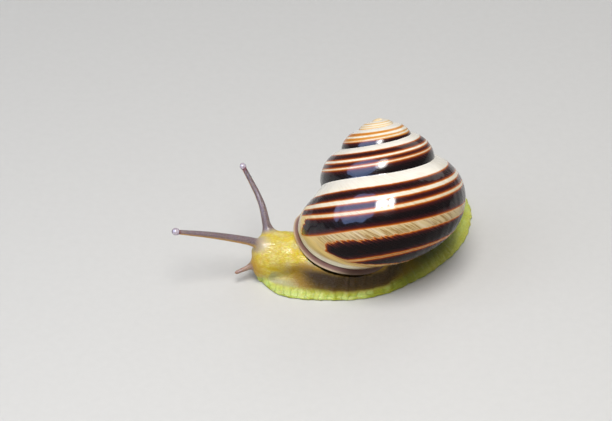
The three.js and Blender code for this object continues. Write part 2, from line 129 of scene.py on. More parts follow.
def pressing(u, angle):
    """Shares of a section's width and height that are left at an angle, and the lift there in mm."""
    press = np.clip(1 + u / PRESS_SPAN, 0, PRESS_LIMIT) ** 2
    top = np.maximum(0, np.sin(angle))
    shoulder = top * np.maximum(0, np.cos(angle))
    tall = 1 - press * (PRESS_TOP * top + PRESS_HEIGHT * shoulder)
    tall = np.where(np.sin(angle) < 0, BASE_FULLNESS, tall)
    return 1 - PRESS_WIDTH * press * shoulder, tall, PRESS_LIFT * press * top


def tube_size(u):
    """Half width and half height of the tube, and its centre's radius and height."""
    width = BUD_RADIUS + (TURN_WIDTH - BUD_RADIUS) * grown(u, GROW_WIDTH)
    height = BUD_RADIUS + (TURN_HEIGHT - BUD_RADIUS) * grown(u, GROW_HEIGHT)
    radius = TURN_RADIUS * grown(u, GROW_RADIUS)
    rise = LAST_RISE * np.clip(1 + u / RISE_SPAN, 0, RISE_LIMIT) ** 2
    return width, height, radius, rise - SPIRE_HEIGHT * (grown(u, GROW_RISE) - 1)


def section(u, angle, extra=0.0):
    """Distance from the axis and height of a point of the shell's outside, swollen by extra."""
    width, height, centre, level = tube_size(u)
    wide, tall, lift = pressing(u, angle)
    out = (width * wide + extra) * np.cos(angle)
    up = (height * tall + extra) * np.sin(angle)
    level = level + lift
    r = centre + out * math.cos(SECTION_TILT) - up * math.sin(SECTION_TILT)
    z = level + out * math.sin(SECTION_TILT) + up * math.cos(SECTION_TILT)
    return r, z


def shell_point(u, angle, extra=0.0):
    """The same point in shell coordinates."""
    r, z = section(u, angle, extra)
    r = np.maximum(r, CORE_RADIUS)
    turn = math.pi + TAU * u
    return np.stack([r * np.cos(turn), r * np.sin(turn), z], -1)


def to_world(point):
    return SHELL_BASE + point[..., :1] * REARWARD + point[..., 1:2] * LEFTWARD + point[..., 2:3] * AXIS


def section_place(u, r, z):
    """Where a point lies in the section at u: the signed distance outside it, roughly, and its angle."""
    width, height, centre, level = tube_size(u)
    out = (r - centre) * math.cos(SECTION_TILT) + (z - level) * math.sin(SECTION_TILT)
    up = -(r - centre) * math.sin(SECTION_TILT) + (z - level) * math.cos(SECTION_TILT)
    angle = np.arctan2(up / height, out / width)
    wide, tall, lift = pressing(u, angle)
    up = up - lift
    size = np.hypot(out / (width * wide), up / (height * tall))
    return np.hypot(out, up) * (1 - 1 / np.maximum(size, 1e-6)), angle


def bisect(test, shape, low, high):
    """Where test turns from true at low to false at high, for an array of a shape."""
    low, high = np.full(shape, low), np.full(shape, high)
    for _ in range(30):
        middle = (low + high) / 2
        held = test(middle)
        low = np.where(held, middle, low)
        high = np.where(held, high, middle)
    return (low + high) / 2


def suture_angles(u):
    """Where the section at u meets the turn before it: the angle in both sections."""
    def outside(angle):
        return section_place(u - 1, *section(u, angle))[0] > 0
    new = bisect(outside, u.shape, *SUTURE_SEARCH)
    return new, section_place(u - 1, *section(u, new))[1]


def axis_angle(u):
    """The angle at which the base of the section at u reaches the core."""
    return bisect(lambda angle: section(u, angle)[0] > CORE_RADIUS, u.shape, *CORE_SEARCH)


def plane_turn(angle):
    """Where the lip plane cuts the tube, a little earlier on the upper left."""
    cut = bisect(lambda u: shell_point(u, angle) @ LIP_NORMAL < LIP_OFFSET, angle.shape, *LIP_SEARCH)
    away = angle - LIP_BEND_AT
    span = np.where(away < 0, *LIP_BEND_SPANS)
    return cut - LIP_BEND * np.exp(-(away / span) ** 2)


def soft_min(a, b, width):
    """The lesser of two values, rounded where they are nearly the same."""
    near = np.maximum(width - np.abs(a - b), 0) / width
    return np.minimum(a, b) - near * near * width / 4


def lip_turn(angle):
    """The turn of the lip at any section angle."""
    foot = plane_turn(np.full(angle.shape, LIP_PLANE_END))
    past = np.where(angle >= SUTURE_ANGLE, angle - SUTURE_ANGLE, angle + TAU - SUTURE_ANGLE)
    share = past / (LIP_PLANE_END + TAU - SUTURE_ANGLE)
    inner = SUTURE_TURN + (foot - SUTURE_TURN) * share
    free = (angle >= LIP_PLANE_END) & (angle < SUTURE_ANGLE)
    return np.where(free, soft_min(plane_turn(angle), SUTURE_TURN, LIP_CORNER), inner)


# ---- mesh building

class Sheets:
    """Grids of points that are joined, wherever their points meet, into one mesh."""

    def __init__(self):
        self.points, self.marks, self.quads, self.count = [], [], [], 0

    def add(self, points, marks, flip=False):
        """points: rows x columns x 3; marks: the same rows and columns, kept per face corner."""
        rows, columns = points.shape[:2]
        number = self.count + np.arange(rows * columns).reshape(rows, columns)
        corners = [number[:-1, :-1], number[1:, :-1], number[1:, 1:], number[:-1, 1:]]
        if flip:
            corners.reverse()
        self.quads.append(np.stack(corners, -1).reshape(-1, 4))
        self.points.append(points.reshape(-1, 3))
        self.marks.append(marks.reshape(rows * columns, -1))
        self.count += rows * columns

    def build(self, name, mark_name):
        """One object: points that agree to 0.1 micrometre are joined, and flat faces left out."""
        points = np.concatenate(self.points)
        marks = np.concatenate(self.marks)
        loose = np.concatenate(self.quads)
        _, first, welded = np.unique(np.round(points, 4), axis=0, return_index=True, return_inverse=True)
        joined = welded.reshape(-1)[loose]
        faces, corner_marks = [], []
        for face, source in zip(joined.tolist(), loose.tolist()):
            kept = [k for k in range(4) if face[k] != face[k - 1]]
            if len(set(face)) >= 3 and len(kept) == len(set(face)):
                faces.append([face[k] for k in kept])
                corner_marks.extend(source[k] for k in kept)
        obj = mesh_object(name, points[first], faces)
        add_attribute(obj, mark_name, "FLOAT_VECTOR", "CORNER", marks[corner_marks])
        return obj


def mesh_object(name, points, faces):
    """A smooth object from points in millimetres and faces as lists of vertex numbers."""
    mesh = bpy.data.meshes.new(name)
    mesh.from_pydata((np.asarray(points) * MM).tolist(), [], faces)
    mesh.polygons.foreach_set("use_smooth", np.ones(len(mesh.polygons), dtype=bool))
    mesh.update()
    obj = bpy.data.objects.new(name, mesh)
    scene.collection.objects.link(obj)
    return obj


def add_attribute(obj, name, kind, domain, values):
    layer = obj.data.attributes.new(name, kind, domain)
    key = "vector" if kind == "FLOAT_VECTOR" else "value"
    layer.data.foreach_set(key, np.asarray(values, dtype=np.float32).ravel())


# ---- the shell's mesh

TURN_ROWS = 200  # rows of points per turn
TOP_COLUMNS = 34  # columns from the suture above to the suture below
BASE_COLUMNS = 36  # columns from there to the core
FIRST_ROW = round(-WHORLS * TURN_ROWS)
LEANING_ROW = -TURN_ROWS // 2  # from this row on, rows lean so that the last one is the lip
LIP_ROW = round(SUTURE_TURN * TURN_ROWS)
PARIETAL_ROW = round(-1.35 * TURN_ROWS)  # the base starts here, inside the mouth
LAST_COVERED = SUTURE_TURN - 1  # the last turn that another turn lies on
FINE_ROWS, FINE_SPLIT = 5, 6  # so many of the last rows are split so finely
FLARE_REACH = 0.85  # mm: how far behind the lip its flange starts
FLARE_EDGE = 0.06  # the flange's edge stands this far outside the tube's own line
FLARE_POWER = 1.3
FREE_COLUMNS = 0.0, 0.5  # columns over which the flange frees itself from the suture
WAIST_DEPTH, WAIST_NEAR, WAIST_FAR = 0.5, 0.7, 7.0  # the tube narrows behind the flange
WAIST_ANGLES = 1.0, 0.35  # ... from here to here on its upper side, and all the way below
LIP_ROUNDS = 12  # the lip's turn and its angle depend on each other
LIP_THICK = 0.5
RIM_STEPS, RIM_BULGE = 9, 0.8
PROBE_TURNS, PROBE_OUT = 0.004, 0.1  # small steps that show which way the tube and its wall run
MOUTH_ROWS, MOUTH_REACH = 12, 0.15  # the inner wall's rows and its turns
INNER_WALL, WALL_FADE = 0.55, 0.6  # mm: how thick, and how soon behind the rim
LEAST_REACH = 2.0  # mm from the axis, for lengths along the tube
NO_LIP = 60.0  # lip distance of points far from the lip
RIPPLE_HEIGHT = 0.018  # growth ripples, mm
CURL_START = math.radians(160)  # the first turn's upper edge, under the apex
CURL_POINTS = 120


def ripple(u, angle):
    """Low growth ripples along the tube."""
    wave = np.sin(TAU * (23 * u + 0.9 * np.sin(angle)))
    wave = wave + 0.7 * np.sin(TAU * (51.3 * u - 0.5 * np.cos(angle)) + 1.3)
    return RIPPLE_HEIGHT * wave * smooth(-1.6, 0.0, u) * np.maximum(0, np.cos(angle * 0.9))


def between(low, high, count):
    """count + 1 columns from low to high, for each row."""
    return low[:, None] + (high - low)[:, None] * np.linspace(0, 1, count + 1)[None]


def shell_marks(u, angle, lip_distance):
    return np.stack(np.broadcast_arrays(u, angle, lip_distance), -1)


def spire_grids(sheets):
    """All turns up to the row where the rows start to lean, from suture to suture."""
    rows = np.arange(FIRST_ROW, LEANING_ROW + 1)
    u = rows / TURN_ROWS
    upper = suture_angles(u)[0]
    lower = lower_angles(u)
    angle = between(upper, lower, TOP_COLUMNS)
    u_grid = np.broadcast_to(u[:, None], angle.shape)
    local = shell_point(u_grid, angle, ripple(u_grid, angle))
    # the first turn's upper edge curls in to the apex, under a small dome
    peak = SPIRE_HEIGHT + BUD_RADIUS
    start_r = section(u[:1], lower[:1])[0][0]
    for index in range(TURN_ROWS):
        curl = index / TURN_ROWS
        low_r, low_z = (float(v[0]) for v in section(u[index:index + 1], lower[index:index + 1]))
        r = start_r * curl + (low_r - start_r * curl) * np.linspace(0, 1, TOP_COLUMNS + 1)
        fan = np.linspace(CURL_START, lower[index], CURL_POINTS)
        fan_r, fan_z = section(np.full(CURL_POINTS, u[index]), fan)
        z_tube = np.interp(r, fan_r, fan_z)
        z = peak + (low_z - peak) * (r / low_r) ** 2
        z = z + (z_tube - z) * smooth(0.3, 1.0, np.array(curl))
        turn = math.pi + TAU * u[index]
        local[index] = np.stack([r * math.cos(turn), r * math.sin(turn), z], -1)
        angle[index] = np.interp(r, fan_r, fan)
    local[TURN_ROWS:, 0] = local[:-TURN_ROWS, -1]
    sheets.add(to_world(local), shell_marks(u_grid, angle, NO_LIP))
    # the dome inside that curl
    top = np.array([0, 0, peak])
    share = np.linspace(0, 1, TOP_COLUMNS + 1)[None, :, None]
    cap = top + (local[:TURN_ROWS + 1, :1] - top) * np.concatenate([share, share, share ** 2], -1)
    cap[-1] = local[0]
    cap_u = np.broadcast_to((u[:TURN_ROWS + 1] - 1)[:, None], cap.shape[:2])
    sheets.add(to_world(cap), shell_marks(cap_u, angle[:TURN_ROWS + 1, :1], NO_LIP))
    return local


def lower_angles(u):
    """The section angle of the suture below, or where it would run on the last turn."""
    bound = np.minimum(u, LAST_COVERED)
    return suture_angles(bound + 1)[1]


def parietal_grid(sheets, spire):
    """The base of the turns that end up inside the mouth or under it."""
    rows = np.arange(PARIETAL_ROW, LEANING_ROW + 1)
    u = rows / TURN_ROWS
    angle = between(lower_angles(u), axis_angle(u), BASE_COLUMNS)
    u_grid = np.broadcast_to(u[:, None], angle.shape)
    local = shell_point(u_grid, angle, ripple(u_grid, angle))
    local[:, 0] = spire[rows - FIRST_ROW, -1]
    sheets.add(to_world(local), shell_marks(u_grid, angle, NO_LIP))
    return local[-1]


def leaning_angles(u, column):
    """Section angle of a column (0 to 1 above the lower suture, 1 to 2 on the base) at each turn."""
    low = lower_angles(u)
    above = suture_angles(u)[0]
    above = above + (low - above) * np.minimum(column, 1)
    return above + (axis_angle(u) - low) * np.maximum(column - 1, 0)


def flange(distance, column, angle):
    """How far the shell swells outward at a distance behind the lip."""
    waist = -WAIST_DEPTH * smooth(WAIST_FAR, WAIST_NEAR, distance) * smooth(*WAIST_ANGLES, angle)
    near = np.clip(1 - distance / FLARE_REACH, 0, 1)
    rise = near ** FLARE_POWER * (FLARE_EDGE - waist)
    return (waist + rise) * smooth(*FREE_COLUMNS, column)


def last_stretch(sheets, spire, base_row):
    """The last half turn, up to the lip."""
    column = np.concatenate([
        np.linspace(0, 1, TOP_COLUMNS + 1),
        np.linspace(1, 2, BASE_COLUMNS + 1)[1:],
    ])
    end = np.zeros(column.shape)
    for _ in range(LIP_ROUNDS):
        end = lip_turn(leaning_angles(end, column))
    end[0] = SUTURE_TURN
    whole = LIP_ROW - LEANING_ROW
    steps = np.concatenate([
        np.arange(whole - FINE_ROWS),
        whole - FINE_ROWS + np.arange(FINE_ROWS * FINE_SPLIT + 1) / FINE_SPLIT,
    ])
    start = LEANING_ROW / TURN_ROWS
    u = start + (end - start)[None] * (steps / whole)[:, None]
    wide = np.broadcast_to(column, u.shape)
    angle = leaning_angles(u.ravel(), wide.ravel()).reshape(u.shape)
    reach = np.maximum(section(end, angle[-1])[0], LEAST_REACH)
    distance = (end - u) * TAU * reach
    extra = flange(distance, wide, angle) + ripple(u, angle) * smooth(0.5, 2.0, distance)
    local = shell_point(u, angle, extra)
    local[0, :TOP_COLUMNS + 1] = spire[-1]
    local[0, TOP_COLUMNS:] = base_row
    # the suture runs along the turn before
    edge = spire[LEANING_ROW - TURN_ROWS - FIRST_ROW:LIP_ROW - TURN_ROWS - FIRST_ROW + 1, -1]
    for axis in range(3):
        local[:, 0, axis] = np.interp(steps, np.arange(whole + 1), edge[:, axis])
    sheets.add(to_world(local), shell_marks(u, angle, distance))
    rim_and_mouth(sheets, local[-1], end, angle[-1], column, reach)


def rim_and_mouth(sheets, lip, end, angle, column, reach):
    """The lip's rim, round from outside to inside, and the wall that goes back into the mouth."""
    outer = flange(np.zeros(column.shape), column, angle)
    inner = outer - LIP_THICK
    middle = shell_point(end, angle, (outer + inner) / 2)
    ahead = shell_point(end + PROBE_TURNS, angle, outer) - shell_point(end - PROBE_TURNS, angle, outer)
    away = shell_point(end, angle, outer + PROBE_OUT) - shell_point(end, angle, outer)
    ahead /= np.linalg.norm(ahead, axis=-1, keepdims=True)
    away /= np.maximum(np.linalg.norm(away, axis=-1, keepdims=True), 1e-9)
    rim = [lip]
    for turn in np.linspace(0, math.pi, RIM_STEPS)[1:]:
        swing = away * math.cos(turn) + RIM_BULGE * ahead * math.sin(turn)
        rim.append(middle + LIP_THICK / 2 * swing)
    around = -np.linspace(0, 1, RIM_STEPS)[:, None]
    sheets.add(to_world(np.stack(rim)), shell_marks(end, angle, around))

    back = np.linspace(0, 1, MOUTH_ROWS + 1)[:, None]
    u = end - MOUTH_REACH * back
    depth = MOUTH_REACH * back * TAU * reach
    extra = -INNER_WALL + (inner + INNER_WALL) * np.exp(-depth / WALL_FADE)
    wall = shell_point(u, angle + 0 * u, extra)
    wall[0] = rim[-1]
    sheets.add(to_world(wall), shell_marks(u, angle, -1 - depth))


def build_shell():
    sheets = Sheets()
    spire = spire_grids(sheets)
    base_row = parietal_grid(sheets, spire)
    last_stretch(sheets, spire, base_row)
    return sheets.build("snail_shell", "spiral")


# ---- the skin's form
# The skin is the zero level of a distance-like field on a fine grid, all of it in one piece.

SKIN_STEP = 0.13
SKIN_LOW = np.array([-23.9, -10.6, -0.26])
SKIN_HIGH = np.array([15.2, 19.0, 13.1])

# stations along the sole: centre x, y, half width, height of the back
SOLE = np.array([
    (-12.2, -1.4, 1.35, 1.2), (-9.6, -1.7, 3.85, 1.7), (-5.5, -2.2, 4.4, 2.6), (0.0, -2.0, 4.3, 3.2),
    (4.1, 0.6, 4.2, 3.1), (7.0, 3.3, 4.0, 2.7), (9.9, 7.1, 3.6, 2.3), (11.9, 11.7, 2.7, 1.8),
    (12.6, 15.4, 1.6, 1.1), (12.5, 17.9, 0.35, 0.5),
])
FRINGE_EDGE = 0.5  # mm: how thick the foot's edge is, at most
SCALLOPS = 0.10  # mm in and out of the foot's edge
ENDS = 0.7, 0.25  # mm in which the foot closes at its front and its rear
BACK_SPAN, BACK_POWER = math.pi / 2 * 0.97, 1.25  # the arch of the back, from the middle to the edge
PARTING_AT, PARTING_WIDTH, PARTING_DEPTH = 0.70, 0.06, 0.09  # the furrow above the fringe
GROOVES = 7.0  # radians of the fringe's grooves per mm along the foot
GROOVE_DEPTH = 0.06
TRUNK_TOP, TRUNK_POWER = 4.9, 1.3  # the height and hollow of the flank that rises to the shell
STEEPEST = 3.0  # slopes are evened up to this
# stations along the neck and head: centre x, y, z, half width, half height
HEAD = np.array([
    (-3.5, -1.4, 2.4, 3.1, 1.7), (-6.6, -1.2, 3.0, 3.1, 2.1), (-8.7, -1.1, 3.35, 3.0, 2.55),
    (-10.4, -1.2, 3.05, 2.7, 2.7), (-11.9, -1.4, 2.85, 2.4, 2.55), (-12.75, -1.45, 2.85, 1.98, 2.08),
    (-13.15, -1.5, 2.9, 1.55, 1.6), (-13.42, -1.5, 2.9, 0.95, 1.0),
])
HEAD_SOFTNESS, LOBE_SOFTNESS = 0.9, 0.35  # mm over which the head and the mouth's lobes flow in
# tentacles: spine, radius at root, waist and tip, and how softly the root flows into the head
STALK_TIP = 0.30
ROOT_SHARE = 0.2  # of a tentacle's length, where its waist is
TENTACLES = [
    ([(-11.2, -1.6, 4.3), (-12.66, -1.9, 5.32), (-14.25, -2.2, 6.05), (-17.65, -3.0, 7.25),
      (-20.2, -3.6, 8.0), (-22.3, -4.08, 8.55)], 0.95, 0.62, STALK_TIP, 0.9),
    ([(-11.1, -0.5, 4.2), (-11.4, 0.2, 5.5), (-11.7, 0.8, 6.7), (-12.2, 2.0, 8.4),
      (-13.0, 3.3, 9.8), (-14.4, 4.75, 12.0)], 1.35, 0.62, STALK_TIP, 1.8),
    ([(-12.5, -2.0, 2.4), (-13.5, -2.3, 2.25), (-14.4, -2.65, 2.0), (-15.35, -3.0, 1.75)],
     0.62, 0.38, 0.25, 0.9),
    ([(-12.2, -0.9, 2.2), (-12.9, 0.1, 1.95), (-13.2, 0.9, 1.6), (-13.3, 1.5, 1.3)],
     0.58, 0.36, 0.26, 0.8),
]
# round swellings: centre, radii
MOUTH_LOBES = [((-12.35, -2.35, 1.45), (0.80, 0.75, 0.80)), ((-12.35, -0.55, 1.4), (0.80, 0.75, 0.75))]
SHELL_WALL = 0.55
SKIN_GAP = 0.10
MOUTH_ROOM = 0.12  # turns of tube that the mantle fills
PAST_LIP = 3.0  # mm past the lip where the mantle may still be
MEETING = 0.6, 2.0, -9.8  # the shell is looked for where the field is less, and z and x more, than this
MANTLE_TOP = 6.4
FLARE = 3.0  # mm outside the mouth over which the flank rises to it
FRINGE_FREE = (0.68, 0.90)  # shares of the half width: from full flank to bare fringe
SKIN_SMOOTHING = 3
PLACE_SMOOTHING = 6
NEAREST_CHUNK = 20000  # points at a time
STRAIGHT = (5.0, -4.0)  # x over which the marks' coordinates turn to the axes
TUBERCLE = np.array([0.72, 0.46, 0.46])  # mm: long along the body, narrow across it
TUBERCLE_HEIGHT = 0.042
TUBERCLE_ROUND, TUBERCLE_MEAN = 0.55, 0.4
# how far from the shell the flesh's painted shade reaches
SHADE_REACH = 5.5  # mm from the shell to where the flesh is no longer darker


def through(stations, count):
    """Points at equal steps on a smooth curve through the stations."""
    stations = np.asarray(stations, dtype=float)
    padded = np.concatenate([stations[:1], stations, stations[-1:]])
    place = np.linspace(0, len(stations) - 1, count)
    k = np.minimum(place.astype(int), len(stations) - 2)
    t = (place - k)[:, None]
    a, b, c, d = padded[k], padded[k + 1], padded[k + 2], padded[k + 3]
    return b + 0.5 * t * (c - a + t * (2 * a - 5 * b + 4 * c - d + t * (3 * (b - c) + d - a)))


def along_sole(x, y):
    """Where floor points lie along the foot's line and across it, its half width and height; its length."""
    line = through(SOLE, 260)
    steps = np.gradient(line[:, :2], axis=0)
    steps /= np.linalg.norm(steps, axis=1, keepdims=True)
    lengths = np.concatenate([[0], np.cumsum(np.linalg.norm(np.diff(line[:, :2], axis=0), axis=1))])
    flat = np.stack([x.ravel(), y.ravel()], -1)
    near = np.empty(len(flat), dtype=int)
    for start in range(0, len(flat), NEAREST_CHUNK):
        part = flat[start:start + NEAREST_CHUNK, None]
        gap = (part[..., 0] - line[:, 0]) ** 2 + (part[..., 1] - line[:, 1]) ** 2
        near[start:start + NEAREST_CHUNK] = gap.argmin(1)
    offset = flat - line[near, :2]
    ahead = steps[near]
    along = lengths[near] + (offset * ahead).sum(1)
    across = ahead[:, 0] * offset[:, 1] - ahead[:, 1] * offset[:, 0]
    half = np.interp(along, lengths, line[:, 2])
    height = np.interp(along, lengths, line[:, 3])
    return [v.reshape(x.shape) for v in (along, across, half, height)] + [lengths[-1]]


def scallops(along, side):
    """Small waves of the fringe's edge, as a share of one."""
    turn = along * 3.9 + 2.0 * side
    return (np.sin(turn) + 0.6 * np.sin(2.3 * turn + 1.1) + 0.5 * np.sin(0.37 * turn)) / 2.1


def mouth_outline():
    """The inside of the lip seen from above, and its height there."""
    angle = np.linspace(-math.pi, math.pi, 120, endpoint=False)
    return to_world(shell_point(lip_turn(angle), angle, -SHELL_WALL - SKIN_GAP))


def inside_outline(x, y, outline):
    """How far floor points lie inside a closed outline (less than 0 outside)."""
    first = outline[:, :2]
    second = np.roll(first, -1, axis=0)
    best = np.full(x.shape, 1e9)
    odd = np.zeros(x.shape, dtype=bool)
    for (ax, ay), (bx, by) in zip(first, second):
        dx, dy = bx - ax, by - ay
        t = np.clip(((x - ax) * dx + (y - ay) * dy) / (dx * dx + dy * dy + 1e-12), 0, 1)
        best = np.minimum(best, np.hypot(x - ax - t * dx, y - ay - t * dy))
        odd ^= ((ay > y) != (by > y)) & (x < (bx - ax) * (y - ay) / (by - ay + 1e-12) + ax)
    return np.where(odd, best, -best)


def foot_field(x, y, z):
    """The foot with its fringe, and the trunk above it up into the shell's mouth."""
    along, across, half, height, length = along_sole(x, y)
    side = np.sign(across)
    half = half + SCALLOPS * scallops(along, side) * smooth(0.3, 1.2, half)
    beyond = np.maximum(np.maximum(-along / ENDS[0], (along - length) / ENDS[1]), 0)
    rim = np.sqrt((across / half) ** 2 + beyond ** 2)
    q = np.minimum(rim, 1.0)
    edge = np.minimum(FRINGE_EDGE, 0.5 * height)
    back = edge + (height - edge) * np.cos(BACK_SPAN * q) ** BACK_POWER
    # a furrow parts the fringe from the flank, and fine grooves run out over the fringe
    parting = np.exp(-((q - PARTING_AT) / PARTING_WIDTH) ** 2)
    back = back - PARTING_DEPTH * parting * smooth(0.8, 2.0, half)
    grooves = np.abs(np.sin(along * GROOVES + 0.9 * np.sin(along * 1.7) + side)) ** 0.6
    back = back - GROOVE_DEPTH * (1 - grooves) * smooth(0.70, 0.80, q) * smooth(0.6, 1.6, half)
    inside = inside_outline(x, y, mouth_outline())
    column = smooth(-FLARE, 0.5, inside) * (1 - smooth(*FRINGE_FREE, q) * smooth(0.1, -0.9, inside))
    rise = back + (TRUNK_TOP - back) * column ** TRUNK_POWER
    rise = np.where(inside > 0.1, MANTLE_TOP, rise)
    slope = np.hypot(*np.gradient(rise, SKIN_STEP))
    flat = 1 / np.sqrt(1 + np.minimum(slope, STEEPEST) ** 2)
    top = (z - rise[:, :, None]) * flat[:, :, None]
    # the fringe's edge is round
    out = ((rim - 1) * half)[:, :, None]
    middle = (edge * 0.5)[:, :, None]
    edge_round = np.hypot(np.maximum(out + middle, 0), np.abs(z - middle)) - middle
    field = np.where(out > -middle, edge_round, top)
    return np.maximum(np.maximum(field, top), -z)


def head_field(x, y, z):
    """The neck and head: oval sections along x."""
    rows = through(HEAD, 160)[::-1]
    line = [np.interp(x[:, 0], rows[:, 0], rows[:, k]) for k in range(1, 5)]
    cy, cz, half, tall = (v[:, None, None] for v in line)
    ends = np.maximum(HEAD[-1, 0] - x, x - HEAD[0, 0])[:, :, None]
    size = np.hypot((y[:, :, None] - cy) / half, (z - cz) / tall)
    reach = np.hypot(y[:, :, None] - cy, z - cz)
    field = np.where(size > 1e-3, reach * (1 - 1 / np.maximum(size, 1e-3)), -np.minimum(half, tall))
    return np.hypot(np.maximum(field, 0), np.maximum(ends, 0)) + np.minimum(np.maximum(field, ends), 0)


def tube_field(grid, spine, root, waist, tip):
    """Distance to a tentacle, and how far along it each point lies (0 to 1)."""
    points = through(spine, 40)
    share = np.linspace(0, 1, len(points))
    near_root = root + (waist - root) * np.sin(np.minimum(share / ROOT_SHARE, 1) * math.pi / 2)
    beyond = waist + (tip - waist) * np.maximum((share - ROOT_SHARE) / (1 - ROOT_SHARE), 0) ** 0.8
    radius = np.where(share < ROOT_SHARE, near_root, beyond)
    best = np.full(grid[0].shape, 1e3, dtype=np.float32)
    where = np.zeros(grid[0].shape, dtype=np.float32)
    for k in range(len(points) - 1):
        a, b = points[k], points[k + 1]
        d = b - a
        t = np.clip(sum((grid[i] - a[i]) * d[i] for i in range(3)) / (d @ d), 0, 1)
        gap = np.sqrt(sum((grid[i] - a[i] - t * d[i]) ** 2 for i in range(3)))
        gap = gap - (radius[k] + t * (radius[k + 1] - radius[k]))
        closer = gap < best
        best = np.where(closer, gap, best)
        where = np.where(closer, share[k] + t * (share[k + 1] - share[k]), where)
    return best, where


def shell_near(points):
    """Distances to the shell's solid and to the room inside its mouth."""
    local = points - SHELL_BASE
    r = np.hypot(local @ REARWARD, local @ LEFTWARD)
    height = local @ AXIS
    turn = ((np.arctan2(local @ LEFTWARD, local @ REARWARD) - math.pi) / TAU) % 1.0
    solid = np.full(r.shape, 1e3)
    room = np.full(r.shape, 1e3)
    round_here = TAU * np.maximum(r, LEAST_REACH)
    earlier = section_place(turn - 2, r, height)[0]
    for u in (turn - 1, turn):
        outside, angle = section_place(u, r, height)
        past = (u - lip_turn(angle)) * round_here
        solid = np.minimum(solid, np.maximum(outside, past))
        deep = -MOUTH_ROOM * round_here - past
        chamber = np.maximum(np.maximum(outside + SHELL_WALL, deep), np.maximum(past - PAST_LIP, -earlier))
        room = np.minimum(room, chamber)
        solid = np.minimum(solid, earlier)
        earlier = outside
    return solid, room


def shell_mask(points):
    """Less than 0 where flesh may be: clear of the shell, or in the room inside its mouth."""
    solid, room = shell_near(points)
    return np.minimum(SKIN_GAP - solid, room + SKIN_GAP)


def part_diagonals(field):
    """Fills grid faces whose inside corners touch only across a diagonal, so that the net stays closed."""
    below, above, whole = slice(None, -1), slice(1, None), slice(None)
    for _ in range(8):
        changed = False
        for pair in ((0, 1), (1, 2), (0, 2)):
            a, b, c, d = (
                tuple(below if k in lower else above if k in pair else whole for k in range(3))
                for lower in (pair, pair[1:], (), pair[:1]))
            inside = field < 0
            for same, other in (((a, c), (b, d)), ((b, d), (a, c))):
                crossed = inside[same[0]] & inside[same[1]] & ~inside[other[0]] & ~inside[other[1]]
                if crossed.any():
                    field[other[0]][crossed] = -0.002
                    changed = True
        if not changed:
            break
    return field


def surface_net(field, low, step):
    """A quad mesh of the field's zero level: one point in each grid cell that it passes."""
    inside = field < 0
    counted = sum(inside[i:i - 1 or None, j:j - 1 or None, k:k - 1 or None].astype(np.int8)
                  for i in (0, 1) for j in (0, 1) for k in (0, 1))
    active = (counted > 0) & (counted < 8)
    number = np.full(active.shape, -1)
    cells = np.argwhere(active)
    number[active] = np.arange(len(cells))
    total = np.zeros((len(cells), 3))
    crossings = np.zeros(len(cells))
    for axis in range(3):
        unit = np.eye(3, dtype=int)[axis]
        others = [np.eye(3, dtype=int)[k] for k in range(3) if k != axis]
        for i in (0, 1):
            for j in (0, 1):
                a = cells + i * others[0] + j * others[1]
                b = a + unit
                fa, fb = field[tuple(a.T)], field[tuple(b.T)]
                crossed = (fa < 0) != (fb < 0)
                t = np.where(crossed, fa / np.where(crossed, fa - fb, 1), 0)
                total += np.where(crossed[:, None], a + t[:, None] * unit, 0)
                crossings += crossed
    points = low + step * total / crossings[:, None]
    faces = []
    for axis in range(3):
        unit = np.eye(3, dtype=int)[axis]
        second, third = (np.eye(3, dtype=int)[(axis + k) % 3] for k in (1, 2))
        first = np.moveaxis(inside, axis, 0)
        changed = np.moveaxis(first[:-1] != first[1:], 0, axis)
        ends = np.argwhere(changed)
        ends = ends[((ends > 0) | (unit > 0)).all(1)]
        leaving = inside[tuple(ends.T)]
        quad = np.stack([number[tuple((ends - i * second - j * third).T)]
                         for i, j in ((0, 0), (1, 0), (1, 1), (0, 1))], -1)
        faces.append(np.where(leaving[:, None], quad, quad[:, ::-1]))
    return points, np.concatenate(faces)


def gathered(index, values, count):
    """The sum of the values that belong to each index."""
    return np.stack([np.bincount(index, values[:, axis], count) for axis in range(3)], -1)


def neighbour_mean(points, faces):
    """Each point's mean neighbour along the edges."""
    total = np.zeros_like(points)
    count = np.zeros(len(points))
    for k in range(4):
        a, b = faces[:, k], faces[:, (k + 1) % 4]
        for one, other in ((a, b), (b, a)):
            total += gathered(one, points[other], len(points))
            count += np.bincount(one, minlength=len(points))
    return total / count[:, None]


def point_normals(points, faces):
    cross = np.cross(points[faces[:, 2]] - points[faces[:, 0]], points[faces[:, 3]] - points[faces[:, 1]])
    normal = np.zeros_like(points)
    for k in range(4):
        normal += gathered(faces[:, k], cross, len(points))
    return normal / np.maximum(np.linalg.norm(normal, axis=1, keepdims=True), 1e-12)


def cell_domes(points):
    """Round tubercles, one in each cell of a jittered grid: 1 at a tubercle's top, 0 between them."""
    base = np.floor(points)
    best = np.full(len(points), 9.0)
    for shift in np.ndindex(3, 3, 3):
        cell = base + np.array(shift) - 1
        seed = cell @ np.array([127.1, 311.7, 74.7])
        jitter = np.stack([np.sin(seed + k) * 43758.5453 for k in (0.0, 1.7, 3.9)], -1) % 1.0
        best = np.minimum(best, ((cell + 0.15 + 0.7 * jitter - points) ** 2).sum(1))
    return np.clip(1 - best / TUBERCLE_ROUND, 0, 1)


def nearest_tentacle(ways, reach, starts):
    """How much each point belongs to a tentacle of a pair, and its place along it.

    A tentacle's own colour begins at its start, a share of its length."""
    first = ways[0][0] < ways[1][0]
    gap = np.minimum(ways[0][0], ways[1][0])
    share = np.where(first, ways[0][1], ways[1][1])
    start = np.where(first, starts[0], starts[1])
    weight = smooth(reach, 0.05, gap) * smooth(start, start + 0.10, share)
    return weight, share


